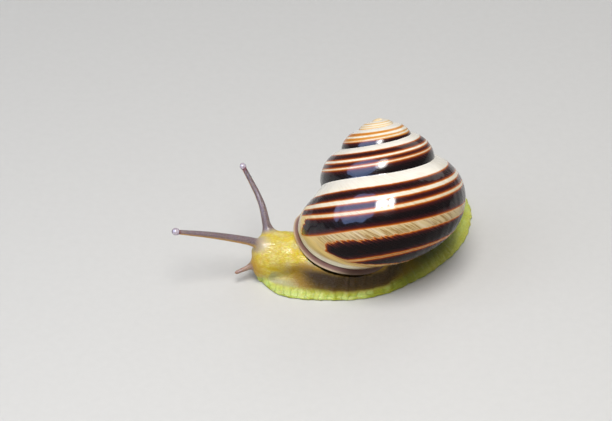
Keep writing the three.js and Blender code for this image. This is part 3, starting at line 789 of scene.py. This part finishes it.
def distance_to(points, others):
    """How far each point is from the nearest of the others."""
    tree = KDTree(len(others))
    for index, other in enumerate(others):
        tree.insert(other, index)
    tree.balance()
    return np.array([tree.find(point)[2] for point in points])


def build_skin(shell_points):
    """The skin with its marks: place along and across the body, masks, and the limb a point is on."""
    axes = [np.arange(a, b, SKIN_STEP) for a, b in zip(SKIN_LOW, SKIN_HIGH)]
    x, y = np.meshgrid(axes[0], axes[1], indexing="ij")
    z = axes[2][None, None, :]
    field = soft_min(foot_field(x, y, z), head_field(x, y, z), HEAD_SOFTNESS)
    grid = np.meshgrid(*axes, indexing="ij")
    for centre, radii in MOUTH_LOBES:
        size = np.sqrt(sum(((g - c) / k) ** 2 for g, c, k in zip(grid, centre, radii)))
        field = soft_min(field, (size - 1) * min(radii), LOBE_SOFTNESS)
    for spine, root, waist, tip, soft in TENTACLES:
        low = np.min(spine, axis=0) - root - soft - 0.5
        high = np.max(spine, axis=0) + root + soft + 0.5
        part = tuple(slice(*np.searchsorted(axes[k], (low[k], high[k]))) for k in range(3))
        gap = tube_field([g[part] for g in grid], spine, root, waist, tip)[0]
        field[part] = soft_min(field[part], gap, soft)
    near = np.argwhere((field < MEETING[0]) & (grid[2] > MEETING[1]) & (grid[0] > MEETING[2]))
    places = SKIN_LOW + SKIN_STEP * near
    index = tuple(near.T)
    field[index] = np.maximum(field[index], shell_mask(places))
    field = part_diagonals(np.maximum(field, -grid[2]))
    points, faces = surface_net(field, SKIN_LOW, SKIN_STEP)
    on_floor = points[:, 2] < 0.02
    for _ in range(SKIN_SMOOTHING):
        points = points + 0.5 * (neighbour_mean(points, faces) - points)
        points[on_floor, 2] = 0.0
    normal = point_normals(points, faces)

    along, across, half, _, _ = along_sole(points[:, 0], points[:, 1])
    rim = np.abs(across) / half
    inside = inside_outline(points[:, 0], points[:, 1], mouth_outline())
    flat = [points[:, k] for k in range(3)]
    ways = [tube_field(flat, *tentacle[:4]) for tentacle in TENTACLES]
    stalk, share = nearest_tentacle(ways[:2], 0.9, (0.0, 0.14))
    feeler, _ = nearest_tentacle(ways[2:], 0.5, (0.10, 0.10))

    # tubercles stand on the head, neck and flanks, and fade on the fringe, stalks, sole and mantle
    bare = np.maximum(stalk, feeler)
    domes = cell_domes(np.stack([along, across, points[:, 2]], -1) / TUBERCLE)
    lifted = (1 - bare) * smooth(0.06, 0.5, points[:, 2])
    lifted = lifted * smooth(0.8, 0.6, rim) * smooth(0.3, -0.3, inside)
    points = points + (TUBERCLE_HEIGHT * (domes - TUBERCLE_MEAN) * lifted)[:, None] * normal
    # painted shade: flesh near the shell is darkened as if shaded by it, less so on the neck and tail
    shade = smooth(SHADE_REACH, 1.0, distance_to(points, shell_points)) * smooth(4.4, 2.8, points[:, 2])
    shade = shade * (1 - 0.8 * smooth(25.0, 33.0, along)) * (0.25 + 0.75 * smooth(3.5, 7.5, along))
    skin = mesh_object("snail_skin", points, faces.tolist())
    # in front of the foot's bend the marks follow the axes, so that none is squeezed on its inside
    straight = smooth(*STRAIGHT, points[:, 0])
    along = along + straight * (points[:, 0] - SOLE[0, 0] - along)
    across = across + straight * (points[:, 1] - SOLE[3, 1] - across)
    place = np.stack([along, across, points[:, 2]], -1)
    for _ in range(PLACE_SMOOTHING):
        place = neighbour_mean(place, faces)
    add_attribute(skin, "place", "FLOAT_VECTOR", "POINT", place)
    # masks: the rim share, the painted shade near the shell, and how far the surface faces up
    add_attribute(skin, "masks", "FLOAT_VECTOR", "POINT", np.stack([rim, shade, normal[:, 2]], -1))
    add_attribute(skin, "limbs", "FLOAT_VECTOR", "POINT", np.stack([stalk, share, feeler], -1))
    return skin


# ---- the eyes' form

EYE_ROWS, EYE_COLUMNS = 28, 40
EYE_STRETCH, EYE_OVAL = 1.12, 0.03  # how much longer than wide, and how far from round


def build_eye(name, centre, spine, radius):
    """A bulb a little longer than wide, on the end of its stalk."""
    axis = np.array(centre) - np.array(spine[-2])
    axis /= np.linalg.norm(axis)
    side = np.cross(axis, (0, 0, 1))
    side /= np.linalg.norm(side)
    up = np.cross(side, axis)
    polar = np.linspace(0, math.pi, EYE_ROWS + 1)[:, None, None]
    turn = np.linspace(0, TAU, EYE_COLUMNS + 1)[None, :, None]
    across = radius * np.sin(polar) * (1 + EYE_OVAL * np.cos(2 * turn + 0.6))
    points = centre + axis * (radius * EYE_STRETCH * np.cos(polar))
    points = points + across * (side * np.cos(turn) + up * np.sin(turn))
    tip = np.broadcast_arrays(np.cos(polar), np.sin(polar) * np.cos(turn), np.sin(polar) * np.sin(turn))
    sheets = Sheets()
    sheets.add(points, np.concatenate(tip, -1), flip=True)
    return sheets.build(name, "tip")


# ---- materials

class Wire:
    """A node's output, which can be added, subtracted and multiplied like a number."""

    def __init__(self, nodes, socket):
        self.nodes, self.socket = nodes, socket

    def __add__(self, other):
        return self.nodes.math("ADD", self, other)

    def __sub__(self, other):
        return self.nodes.math("SUBTRACT", self, other)

    def __rsub__(self, other):
        return self.nodes.math("SUBTRACT", other, self)

    def __mul__(self, other):
        return self.nodes.math("MULTIPLY", self, other)


class Nodes:
    """One material and short ways to add its nodes. Their values are wires, numbers or colours."""

    def __init__(self, name):
        self.material = bpy.data.materials.new(name)
        self.material.use_nodes = True
        self.tree = self.material.node_tree
        self.shader = self.tree.nodes["Principled BSDF"]

    def link(self, value, socket):
        if isinstance(value, Wire):
            self.tree.links.new(value.socket, socket)
        elif socket.type == "RGBA":
            socket.default_value = (*value, 1.0)
        else:
            socket.default_value = value

    def node(self, kind, inputs, **settings):
        node = self.tree.nodes.new("ShaderNode" + kind)
        for key, value in settings.items():
            setattr(node, key, value)
        for key, value in inputs.items():
            self.link(value, node.inputs[key])
        return node

    def add(self, kind, inputs, output=0, **settings):
        """What a new node gives: its first output, unless another is asked for."""
        return Wire(self, self.node(kind, inputs, **settings).outputs[output])

    def math(self, operation, *values):
        return self.add("Math", dict(enumerate(values)), operation=operation)

    def span(self, value, low, high, start=0.0, end=1.0, kind="SMOOTHSTEP"):
        """start below low, end above high, and a smooth or straight change between."""
        return self.add("MapRange", {
            "Value": value, "From Min": low, "From Max": high, "To Min": start, "To Max": end,
        }, interpolation_type=kind)

    def mix(self, first, second, share):
        """From the first colour to the second as the share goes from 0 to 1."""
        return self.add("Mix", {0: share, 6: first, 7: second}, 2, data_type="RGBA")

    def ramp(self, value, low, high, stops):
        """Colours at places between low (0) and high (1)."""
        node = self.node("ValToRGB", {"Fac": self.span(value, low, high, kind="LINEAR")})
        elements = node.color_ramp.elements
        while len(elements) < len(stops):
            elements.new(1.0)
        for element, (place, colour) in zip(elements, stops):
            element.position = place
            element.color = (*colour, 1.0)
        return Wire(self, node.outputs["Color"])

    def attribute(self, name):
        return self.add("Attribute", {}, "Vector", attribute_name=name)

    def split(self, vector):
        return [Wire(self, socket) for socket in self.node("SeparateXYZ", {"Vector": vector}).outputs]

    def join(self, x, y, z):
        return self.add("CombineXYZ", {"X": x, "Y": y, "Z": z})

    def noise(self, vector, scale, detail=3.0, roughness=0.55):
        return self.add("TexNoise", {
            "Vector": vector, "Scale": scale, "Detail": detail, "Roughness": roughness})

    def seams(self, vector, scale):
        """The distance to the nearest edge of a net of cells."""
        return self.add("TexVoronoi", {"Vector": vector, "Scale": scale}, feature="DISTANCE_TO_EDGE")

    def bump(self, height, distance, strength, normal=None):
        inputs = {"Height": height, "Distance": distance, "Strength": strength}
        if normal:
            inputs["Normal"] = normal
        return self.add("Bump", inputs)

    def set(self, **values):
        for name, value in values.items():
            self.link(value, self.shader.inputs[name.replace("_", " ")])
        return self.material


# ---- the shell's finish
# Bands are told by the section angle, in radians at u = 0, and drift with the turns.

DRIFT_HIGH, DRIFT_LOW = -0.1032, 0.2455  # radians per turn, of the upper and the lower edges
# upper edge, its drift, lower edge, its drift, where it stops behind the lip (mm), the stop's slant
# (mm per radian)
BANDS = [
    (0.8916, DRIFT_HIGH, 0.6752, DRIFT_HIGH, 4.6, 0.0),
    (0.5497, DRIFT_HIGH, 0.4026, DRIFT_HIGH, 6.3, 4.0),
    (0.3089, DRIFT_HIGH, 0.0892, DRIFT_LOW, 6.1, 9.0),
    (-0.1350, DRIFT_LOW, -0.5600, DRIFT_LOW, 6.5, 13.0),
    (-0.6300, DRIFT_LOW, -1.0800, DRIFT_LOW, 6.6, -4.0),
]
GROWTH_SLANT = 0.115  # turns that a growth line falls back per radian of section angle
BAND_MM = 6.4  # mm of shell per radian of section angle at u = 0
TURN_MM = 69.0  # mm round the last turn
BAND_GROWTH = 1.45  # how much wider the bands grow with each turn
YOUNG_THINNING = 0.16  # mm taken off each side of the upper two bands on the young turns

CREAM_WHITE = (0.90, 0.84, 0.70)
CREAM = (0.78, 0.66, 0.42)
BEIGE = (0.54, 0.42, 0.21)
STREAK = (0.34, 0.19, 0.05)
ORANGE = (0.62, 0.17, 0.008)
RED_BROWN = (0.19, 0.026, 0.004)
MAROON = (0.042, 0.006, 0.006)
BLACK_BROWN = (0.0055, 0.0017, 0.0020)
STAIN_ORANGE = (0.88, 0.64, 0.22)
LIP_WHITE = (0.97, 0.92, 0.72)
YOUNG_CREAM = (0.86, 0.66, 0.36)
APEX_TAN = (0.84, 0.60, 0.29)
BLOTCH = (0.10, 0.02, 0.012)
LIP_TAN = (0.55, 0.38, 0.26)
LIP_BROWN_AND_SHADE = (0.045, 0.018, 0.010)


def shell_material():
    n = Nodes("glazed_banded_shell")
    turn, angle, lip = n.split(n.attribute("spiral"))
    growth = turn - angle * GROWTH_SLANT
    # growth runs in mm along the tube, so that streaks keep their width on small turns
    along = n.math("POWER", GROW_RADIUS, growth) * (TURN_MM / math.log(GROW_RADIUS))
    scale = n.math("POWER", BAND_GROWTH, turn)
    across = angle * BAND_MM
    streaks = n.noise(n.join(along, across * 0.16, 0.0), 2.6, 4.0, 0.62)
    coarse = n.noise(n.join(along, across * 0.22, 7.0), 0.55, 2.0, 0.5)
    fine = n.noise(n.join(along, across * 0.10, 3.0), 7.5, 3.0, 0.6)

    ragged = (streaks - 0.5) * 0.34
    nearest = None
    for number, (top, top_drift, bottom, bottom_drift, stop, slant) in enumerate(BANDS):
        above = n.math("MULTIPLY_ADD", turn, top_drift, top) - angle
        below = angle - n.math("MULTIPLY_ADD", turn, bottom_drift, bottom)
        if number == 2:
            # the third band widens downwards near the lip
            below = below + n.span(lip, 17.0, 5.0, 0.0, 0.10)
        if number == 3:
            # the fourth band's upper edge is torn by the streaks, most of all near the lip
            tear = n.span(lip, 7.0, 26.0, 1.10, 0.14)
            above = above - n.math("MAXIMUM", ragged, -0.02) * tear
        inside = n.math("MINIMUM", above, below) * (scale * BAND_MM)
        middle = (top + bottom) / 2
        if number == 3:
            here = n.math("MULTIPLY_ADD", n.math("MAXIMUM", angle, middle), slant, stop - slant * middle)
        else:
            here = n.math("MULTIPLY_ADD", angle, slant, stop - slant * middle)
        end = (n.math("MULTIPLY_ADD", ragged, 6.0, lip) - here) * 0.7
        inside = n.math("MINIMUM", inside, end)
        nearest = inside if nearest is None else n.math("MAXIMUM", nearest, inside)
    young = n.span(turn, -1.8, -2.5) * n.span(angle, 0.55, 0.66)
    edge = nearest + ragged * 0.22 - young * YOUNG_THINNING

    # the ground: white under the suture, cream between the bands, beige and streaked below them
    ground = n.ramp(angle, -1.2, 1.2, [
        (0.00, (0.14, 0.06, 0.012)), (0.10, (0.30, 0.12, 0.015)), (0.29, (0.33, 0.12, 0.012)),
        (0.38, BEIGE), (0.50, (0.68, 0.53, 0.29)), (0.62, CREAM), (0.80, CREAM_WHITE),
        (1.00, (0.94, 0.90, 0.82)),
    ])
    streaky = n.span(streaks, 0.47, 0.61) * n.span(angle, 0.5, 0.05, 0.12, 0.95)
    ground = n.mix(ground, STREAK, streaky)
    pale = n.span(coarse, 0.50, 0.72) * n.span(angle, -0.5, 0.0, 0.0, 0.45)
    ground = n.mix(ground, CREAM_WHITE, pale)
    # behind the lip the ground turns white, with orange stains by the bands' ends
    stain = n.span(lip, 10.0, 6.5) * n.span(coarse, 0.40, 0.60, 0.45, 0.9) * n.span(angle, -1.15, -0.75)
    ground = n.mix(ground, STAIN_ORANGE, stain)
    white = n.span(lip, 4.6, 2.6) * n.span(angle, -1.25, -0.85, 0.0, 0.9)
    ground = n.mix(ground, LIP_WHITE, white)
    # the young turns are tinted orange
    ground = n.mix(ground, YOUNG_CREAM, n.span(turn, -2.7, -4.2) * 0.6)

    dark = n.ramp(edge, -0.20, 0.66, [
        (0.00, CREAM), (0.17, ORANGE), (0.33, RED_BROWN), (0.52, MAROON), (1.0, BLACK_BROWN),
    ])
    # on the young turns the upper two bands turn orange first, and all fade near the apex
    upper_two = n.span(angle, 0.42, 0.62)
    youth = n.span(n.math("MULTIPLY_ADD", upper_two, -0.75, turn), -2.35, -2.95)
    amber = n.ramp(edge, -0.20, 0.66, [
        (0.00, CREAM), (0.25, (0.70, 0.30, 0.045)), (0.5, (0.60, 0.17, 0.012)), (1.0, (0.42, 0.09, 0.008)),
    ])
    bands = n.mix(dark, amber, youth)
    bands = n.mix(bands, APEX_TAN, n.span(turn, -2.65, -3.3) * 0.86)
    colour = n.mix(ground, bands, n.span(edge, -0.20, -0.05))
    # blotches that show through the glaze
    cloud = n.noise(n.join(along, across, 11.0), 0.35, 3.0)
    colour = n.mix(colour, BLOTCH, n.span(cloud, 0.62, 0.8) * 0.25)

    # the lip: a dark line behind it, a mauve flange, a tan rim that is partly a painted highlight along the
    # lip's edge, and brown inside
    lip_colour = n.ramp(lip, -2.0, 1.2, [
        (0.00, (0.10, 0.045, 0.03)), (0.30, (0.22, 0.11, 0.085)), (0.44, (0.62, 0.45, 0.29)),
        (0.66, (0.66, 0.50, 0.34)), (0.72, (0.34, 0.20, 0.17)), (0.83, (0.24, 0.115, 0.10)),
        (0.89, (0.055, 0.016, 0.012)), (0.95, (0.07, 0.02, 0.012)), (1.0, (0.40, 0.22, 0.10)),
    ])
    lip_colour = n.mix(lip_colour, LIP_TAN, n.span(fine, 0.55, 0.75) * 0.5)
    # the lip's lower half is dark brown: partly the lip's own brown, partly painted shade where it turns
    # under
    lip_colour = n.mix(lip_colour, LIP_BROWN_AND_SHADE, n.span(angle, -0.80, -1.15, 0.0, 0.9))
    colour = n.mix(lip_colour, colour, n.span(lip, 0.95, 1.15))

    normal = n.bump(streaks * 0.6 + fine * 0.4, 0.00006, 0.6)
    pits = n.noise(n.join(along, across, 5.0), 9.0, 2.0)
    normal = n.bump(pits, 0.00002, 0.25, normal)
    rough = n.span(streaks, 0.35, 0.75, 0.20, 0.36) + n.span(lip, 0.8, 0.2, 0.0, 0.10)
    # the glaze is thinner on the underside
    coat = n.span(angle, 0.15, -0.35, 0.6, 0.07)
    return n.set(Base_Color=colour, Roughness=rough, Normal=normal, Coat_Weight=coat,
                 Coat_Roughness=0.065, Coat_IOR=1.5, IOR=1.5, Specular_IOR_Level=0.08)


shell = build_shell()
shell.data.materials.append(shell_material())
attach(shell, "root")
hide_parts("shell")


# ---- the skin's finish

YELLOW = (0.67, 0.54, 0.020)
PALE_YELLOW = (0.76, 0.67, 0.17)
MILKY = (0.67, 0.66, 0.46)
# painted shade colours for the flesh under the shell
PAINTED_SHADE_AMBER = (0.040, 0.018, 0.0003)
PAINTED_SHADE_YELLOW = (0.34, 0.195, 0.006)
FLANK_GREY = (0.35, 0.37, 0.25)
ROOT_CREAM = (0.64, 0.52, 0.30)
LIME = (0.45, 0.49, 0.04)
LIGHT_LIME = (0.59, 0.67, 0.17)
# OLIVE is the net's groove colour, and also painted shadow on the fringe and tail
OLIVE = (0.11, 0.13, 0.006)
MAUVE = (0.145, 0.10, 0.11)
PALE_MAUVE = (0.31, 0.25, 0.265)
CHIN_ORANGE = (0.52, 0.24, 0.012)
SOLE_GREY = (0.50, 0.50, 0.24)
SEAM_ORANGE = (0.55, 0.30, 0.02)
GROOVE_GREEN = (0.30, 0.36, 0.03)
TAIL_YELLOW = (0.72, 0.74, 0.12)
TAIL_SHADE = (0.05, 0.055, 0.004)
DARK_MAUVE = (0.12, 0.07, 0.085)
HORN_AMBER = (0.62, 0.33, 0.04)
COLLAR_RED = (0.16, 0.02, 0.03)
FEELER_DARK = (0.20, 0.12, 0.12)
FEELER_PALE = (0.34, 0.24, 0.23)
BULB_MAUVE = (0.40, 0.33, 0.41)
BULB_PALE = (0.58, 0.52, 0.60)
BULB_GREEN = (0.50, 0.52, 0.18)
BULB_RED = (0.22, 0.03, 0.05)
EYE_CUP = (0.06, 0.02, 0.035)


def skin_material():
    n = Nodes("moist_skin")
    place = n.attribute("place")
    along, across, height = n.split(place)
    rim, shade, upward = n.split(n.attribute("masks"))
    stalk, share, feeler = n.split(n.attribute("limbs"))

    # a fine net: tubercles, longer along the body than across, with grooves between them
    stretched = n.join(along * 1.35, across * 3.9, height * 4.3)
    wobble = n.noise(place, 1.3, 2.0)
    warped = n.add("VectorMath", {0: stretched, 1: n.join(wobble, wobble, wobble)}, operation="ADD")
    net = n.span(n.seams(warped, 1.0), 0.0, 0.22)
    tiny = n.seams(place, 6.5)
    cloud = n.noise(place, 0.55, 3.0)
    streak = n.noise(n.join(along * 0.5, across, height), 1.2, 3.0)

    body = n.mix(YELLOW, PALE_YELLOW, n.span(streak, 0.35, 0.7))
    milky = n.span(cloud, 0.40, 0.66) * n.span(height, 1.0, 3.0, 0.30, 0.62)
    milky = milky * n.span(along, 0.5, 3.5, 0.15, 1.0)
    body = n.mix(body, MILKY, milky)
    body = n.mix(n.mix(body, SEAM_ORANGE, 0.45), body, net)
    # the front of the head is orange below the tentacles
    chin = n.span(along, 1.0, -1.2) * n.span(height, 4.9, 2.6)
    body = n.mix(body, CHIN_ORANGE, chin * 0.72)

    # the foot: a milky grey band, then the lime fringe with dark grooves, and a green tail
    band = n.span(rim, 0.44, 0.62) * n.span(rim, 0.82, 0.70) * n.span(height, 2.8, 1.8)
    body = n.mix(body, FLANK_GREY, band * n.span(along, 22.0, 12.0, 0.0, 0.65))
    # painted shade under the shell's lip, partly also the flesh's own darker tone: the flank turns deep
    # yellow and then amber
    deep = n.math("POWER", shade, 0.5)
    flank = n.math("MAXIMUM", n.span(rim, 1.0, 0.84, 0.15, 0.97), n.span(height, 0.8, 1.5, 0.0, 0.97))
    body = n.mix(body, PAINTED_SHADE_YELLOW, n.span(deep, 0.10, 0.55) * flank)
    body = n.mix(body, PAINTED_SHADE_AMBER, n.span(deep, 0.45, 0.95) * flank)
    fringe = n.span(rim, 0.62, 0.84)
    low = n.span(height, 1.5, 0.7)
    waves = n.noise(place, 0.8, 2.0)
    lime = n.mix(LIME, LIGHT_LIME, n.span(waves, 0.4, 0.62))
    phase = n.math("MULTIPLY_ADD", along, GROOVES / 2, waves * 6.0)
    grooves = n.math("ABSOLUTE", n.math("SINE", phase))
    lime = n.mix(n.mix(lime, GROOVE_GREEN, 0.6), lime, n.span(grooves, 0.0, 0.55))
    # painted shadow: the fringe darkens to olive where the shell shades it
    painted_fringe_shadow = n.span(along, 11.0, 18.0) * n.span(along, 32.0, 26.0)
    lime = n.mix(lime, OLIVE, painted_fringe_shadow * 0.75)
    body = n.mix(body, lime, fringe * low)
    tail = n.span(along, 14.0, 21.0)
    green = n.mix(LIME, LIGHT_LIME, n.span(streak, 0.3, 0.7))
    # painted shade: the tail is olive near the shell and brightens towards its tip
    green = n.mix(OLIVE, green, n.span(along, 20.0, 28.0, 0.12, 1.0))
    green = n.mix(green, TAIL_YELLOW, n.span(rim, 0.60, 0.95) * 0.7)
    green = n.mix(n.mix(green, OLIVE, 0.12), green, net)
    # painted shade on the tail close to the shell
    green = n.mix(green, TAIL_SHADE, deep * n.span(rim, 1.0, 0.6, 0.30, 0.95))
    body = n.mix(body, green, tail)
    body = n.mix(body, SOLE_GREY, n.span(upward, -0.3, -0.8))

    # tentacles: mauve above, yellow below, paler at the root
    speck = n.span(tiny, 0.0, 0.10)
    mauve = n.mix(n.mix(MAUVE, DARK_MAUVE, 0.5), n.mix(MAUVE, PALE_MAUVE, cloud), speck)
    below = n.span(upward, 0.28, -0.45)
    horn = n.mix(mauve, HORN_AMBER, below * 0.8)
    horn = n.mix(horn, ROOT_CREAM, n.span(share, 0.32, 0.12, 0.0, 0.85))
    horn = n.mix(horn, COLLAR_RED, n.span(share, 0.955, 0.995, 0.0, 0.8))
    body = n.mix(body, horn, stalk)
    body = n.mix(body, n.mix(FEELER_DARK, FEELER_PALE, speck), feeler * 0.85)

    # the net's relief fades on the tentacles
    normal = n.bump(net * (1.0 - n.math("MAXIMUM", stalk, feeler)), 0.00006, 0.6)
    normal = n.bump(grooves * fringe, 0.00010, 0.5, normal)
    normal = n.bump(tiny, 0.00005, 0.5, normal)
    gloss = n.noise(place, 3.0, 3.0)
    return n.set(Base_Color=body, Roughness=n.span(gloss, 0.3, 0.7, 0.36, 0.50), Normal=normal, IOR=1.38,
                 Subsurface_Weight=0.40, Subsurface_Radius=(1.0, 0.55, 0.12), Subsurface_Scale=0.0007,
                 Coat_Weight=n.span(deep, 0.1, 0.7, 0.20, 0.02), Coat_Roughness=0.13, Coat_IOR=1.36,
                 Specular_IOR_Level=0.35)


def eye_material():
    n = Nodes("glassy_eye")
    tip, _, upper = n.split(n.attribute("tip"))
    speck = n.noise(n.add("TexCoord", {}, "Object"), 5200.0, 3.0)
    bulb = n.mix(BULB_MAUVE, BULB_PALE, n.span(speck, 0.35, 0.65))
    # the eye's dark cup shows dimly through the tip, and the bulb reddens towards its stalk
    bulb = n.mix(bulb, BULB_GREEN, n.span(upper, -0.3, -0.95) * 0.6)
    bulb = n.mix(bulb, EYE_CUP, n.span(tip, 0.80, 0.97) * 0.55)
    bulb = n.mix(bulb, BULB_RED, n.span(tip, -0.35, -0.75, 0.0, 0.9))
    return n.set(Base_Color=bulb, Roughness=0.16, Normal=n.bump(speck, 0.00001, 0.3), IOR=1.40,
                 Subsurface_Weight=0.30, Subsurface_Radius=(1.0, 0.7, 0.6), Subsurface_Scale=0.0004,
                 Coat_Weight=1.0, Coat_Roughness=0.03, Coat_IOR=1.40)


SKIN_NODES = [
    "mantle_collar", "head", "neck", "trunk", "foot_front", "foot_middle", "foot_rear", "tail", "tail_tip",
    "left_eye_stalk_lower", "left_eye_stalk_upper", "right_eye_stalk_lower", "right_eye_stalk_upper",
    "left_lower_tentacle", "right_lower_tentacle",
]
skin = build_skin(1000 * np.array([vertex.co for vertex in shell.data.vertices]))
skin.data.materials.append(skin_material())
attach(skin, "root")
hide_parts(*SKIN_NODES)

glass = eye_material()
EYES = [("left_eye", (-22.6, -4.15, 8.66), TENTACLES[0][0], 0.47),
        ("right_eye", (-14.55, 4.9, 12.26), TENTACLES[1][0], 0.41)]
for node, centre, spine, radius in EYES:
    eye = build_eye("snail_" + node, centre, spine, radius)
    eye.data.materials.append(glass)
    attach(eye, "root")
    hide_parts(node)


# ---- floor and light

FLOOR_HALF = 1200.0  # mm
LIGHT_AIM = Vector((0.0, 0.0, 0.006))


def floor_material():
    n = Nodes("pale_floor")
    place = n.add("TexCoord", {}, "Object")
    grain = n.noise(place, 900.0, 4.0)
    tint = n.mix((0.62, 0.615, 0.60), (0.66, 0.655, 0.64), grain)
    return n.set(Base_Color=tint, Roughness=0.75, Normal=n.bump(grain, 0.00004, 0.3))


def build_floor():
    corners = [(-FLOOR_HALF, -FLOOR_HALF, 0), (FLOOR_HALF, -FLOOR_HALF, 0), (FLOOR_HALF, FLOOR_HALF, 0),
               (-FLOOR_HALF, FLOOR_HALF, 0)]
    floor = mesh_object("floor", corners, [[0, 1, 2, 3]])
    floor.data.materials.append(floor_material())


def area_light(name, azimuth, elevation, distance, size, power, colour, tall=1.0, lights=True):
    """A light that shines on the snail from an azimuth (0 = from the camera's side).

    One that lights nothing only shows in the gloss."""
    a, e = math.radians(azimuth), math.radians(elevation)
    back = Vector((math.sin(a) * math.cos(e), -math.cos(a) * math.cos(e), math.sin(e)))
    light = bpy.data.objects.new(name, bpy.data.lights.new(name, "AREA"))
    light.data.shape = "ELLIPSE"
    light.data.size = size
    light.data.size_y = size * tall
    light.visible_diffuse = lights
    light.data.energy = power
    light.data.color = colour
    light.location = LIGHT_AIM + back * distance
    light.rotation_euler = back.to_track_quat("Z", "Y").to_euler()
    scene.collection.objects.link(light)


build_floor()
area_light("key", -4.0, 65.0, 0.30, 0.12, 0.82, (1.0, 0.975, 0.94), tall=1.7)
area_light("glint", -4.0, 63.0, 0.298, 0.062, 0.85, (1.0, 1.0, 1.0), tall=1.9, lights=False)
area_light("sky_left", -58.0, 46.0, 0.35, 0.40, 2.6, (0.36, 0.52, 1.0), tall=1.1, lights=False)
area_light("fill_left", -62.0, 42.0, 0.45, 0.35, 0.35, (0.90, 0.95, 1.0))
area_light("rear", 150.0, 35.0, 0.40, 0.25, 0.18, (1.0, 0.98, 0.95))

world = bpy.data.worlds.new("studio")
world.use_nodes = True
world.node_tree.nodes["Background"].inputs["Color"].default_value = (0.80, 0.82, 0.85, 1.0)
world.node_tree.nodes["Background"].inputs["Strength"].default_value = 0.24
scene.world = world
scene.view_settings.view_transform = "Standard"
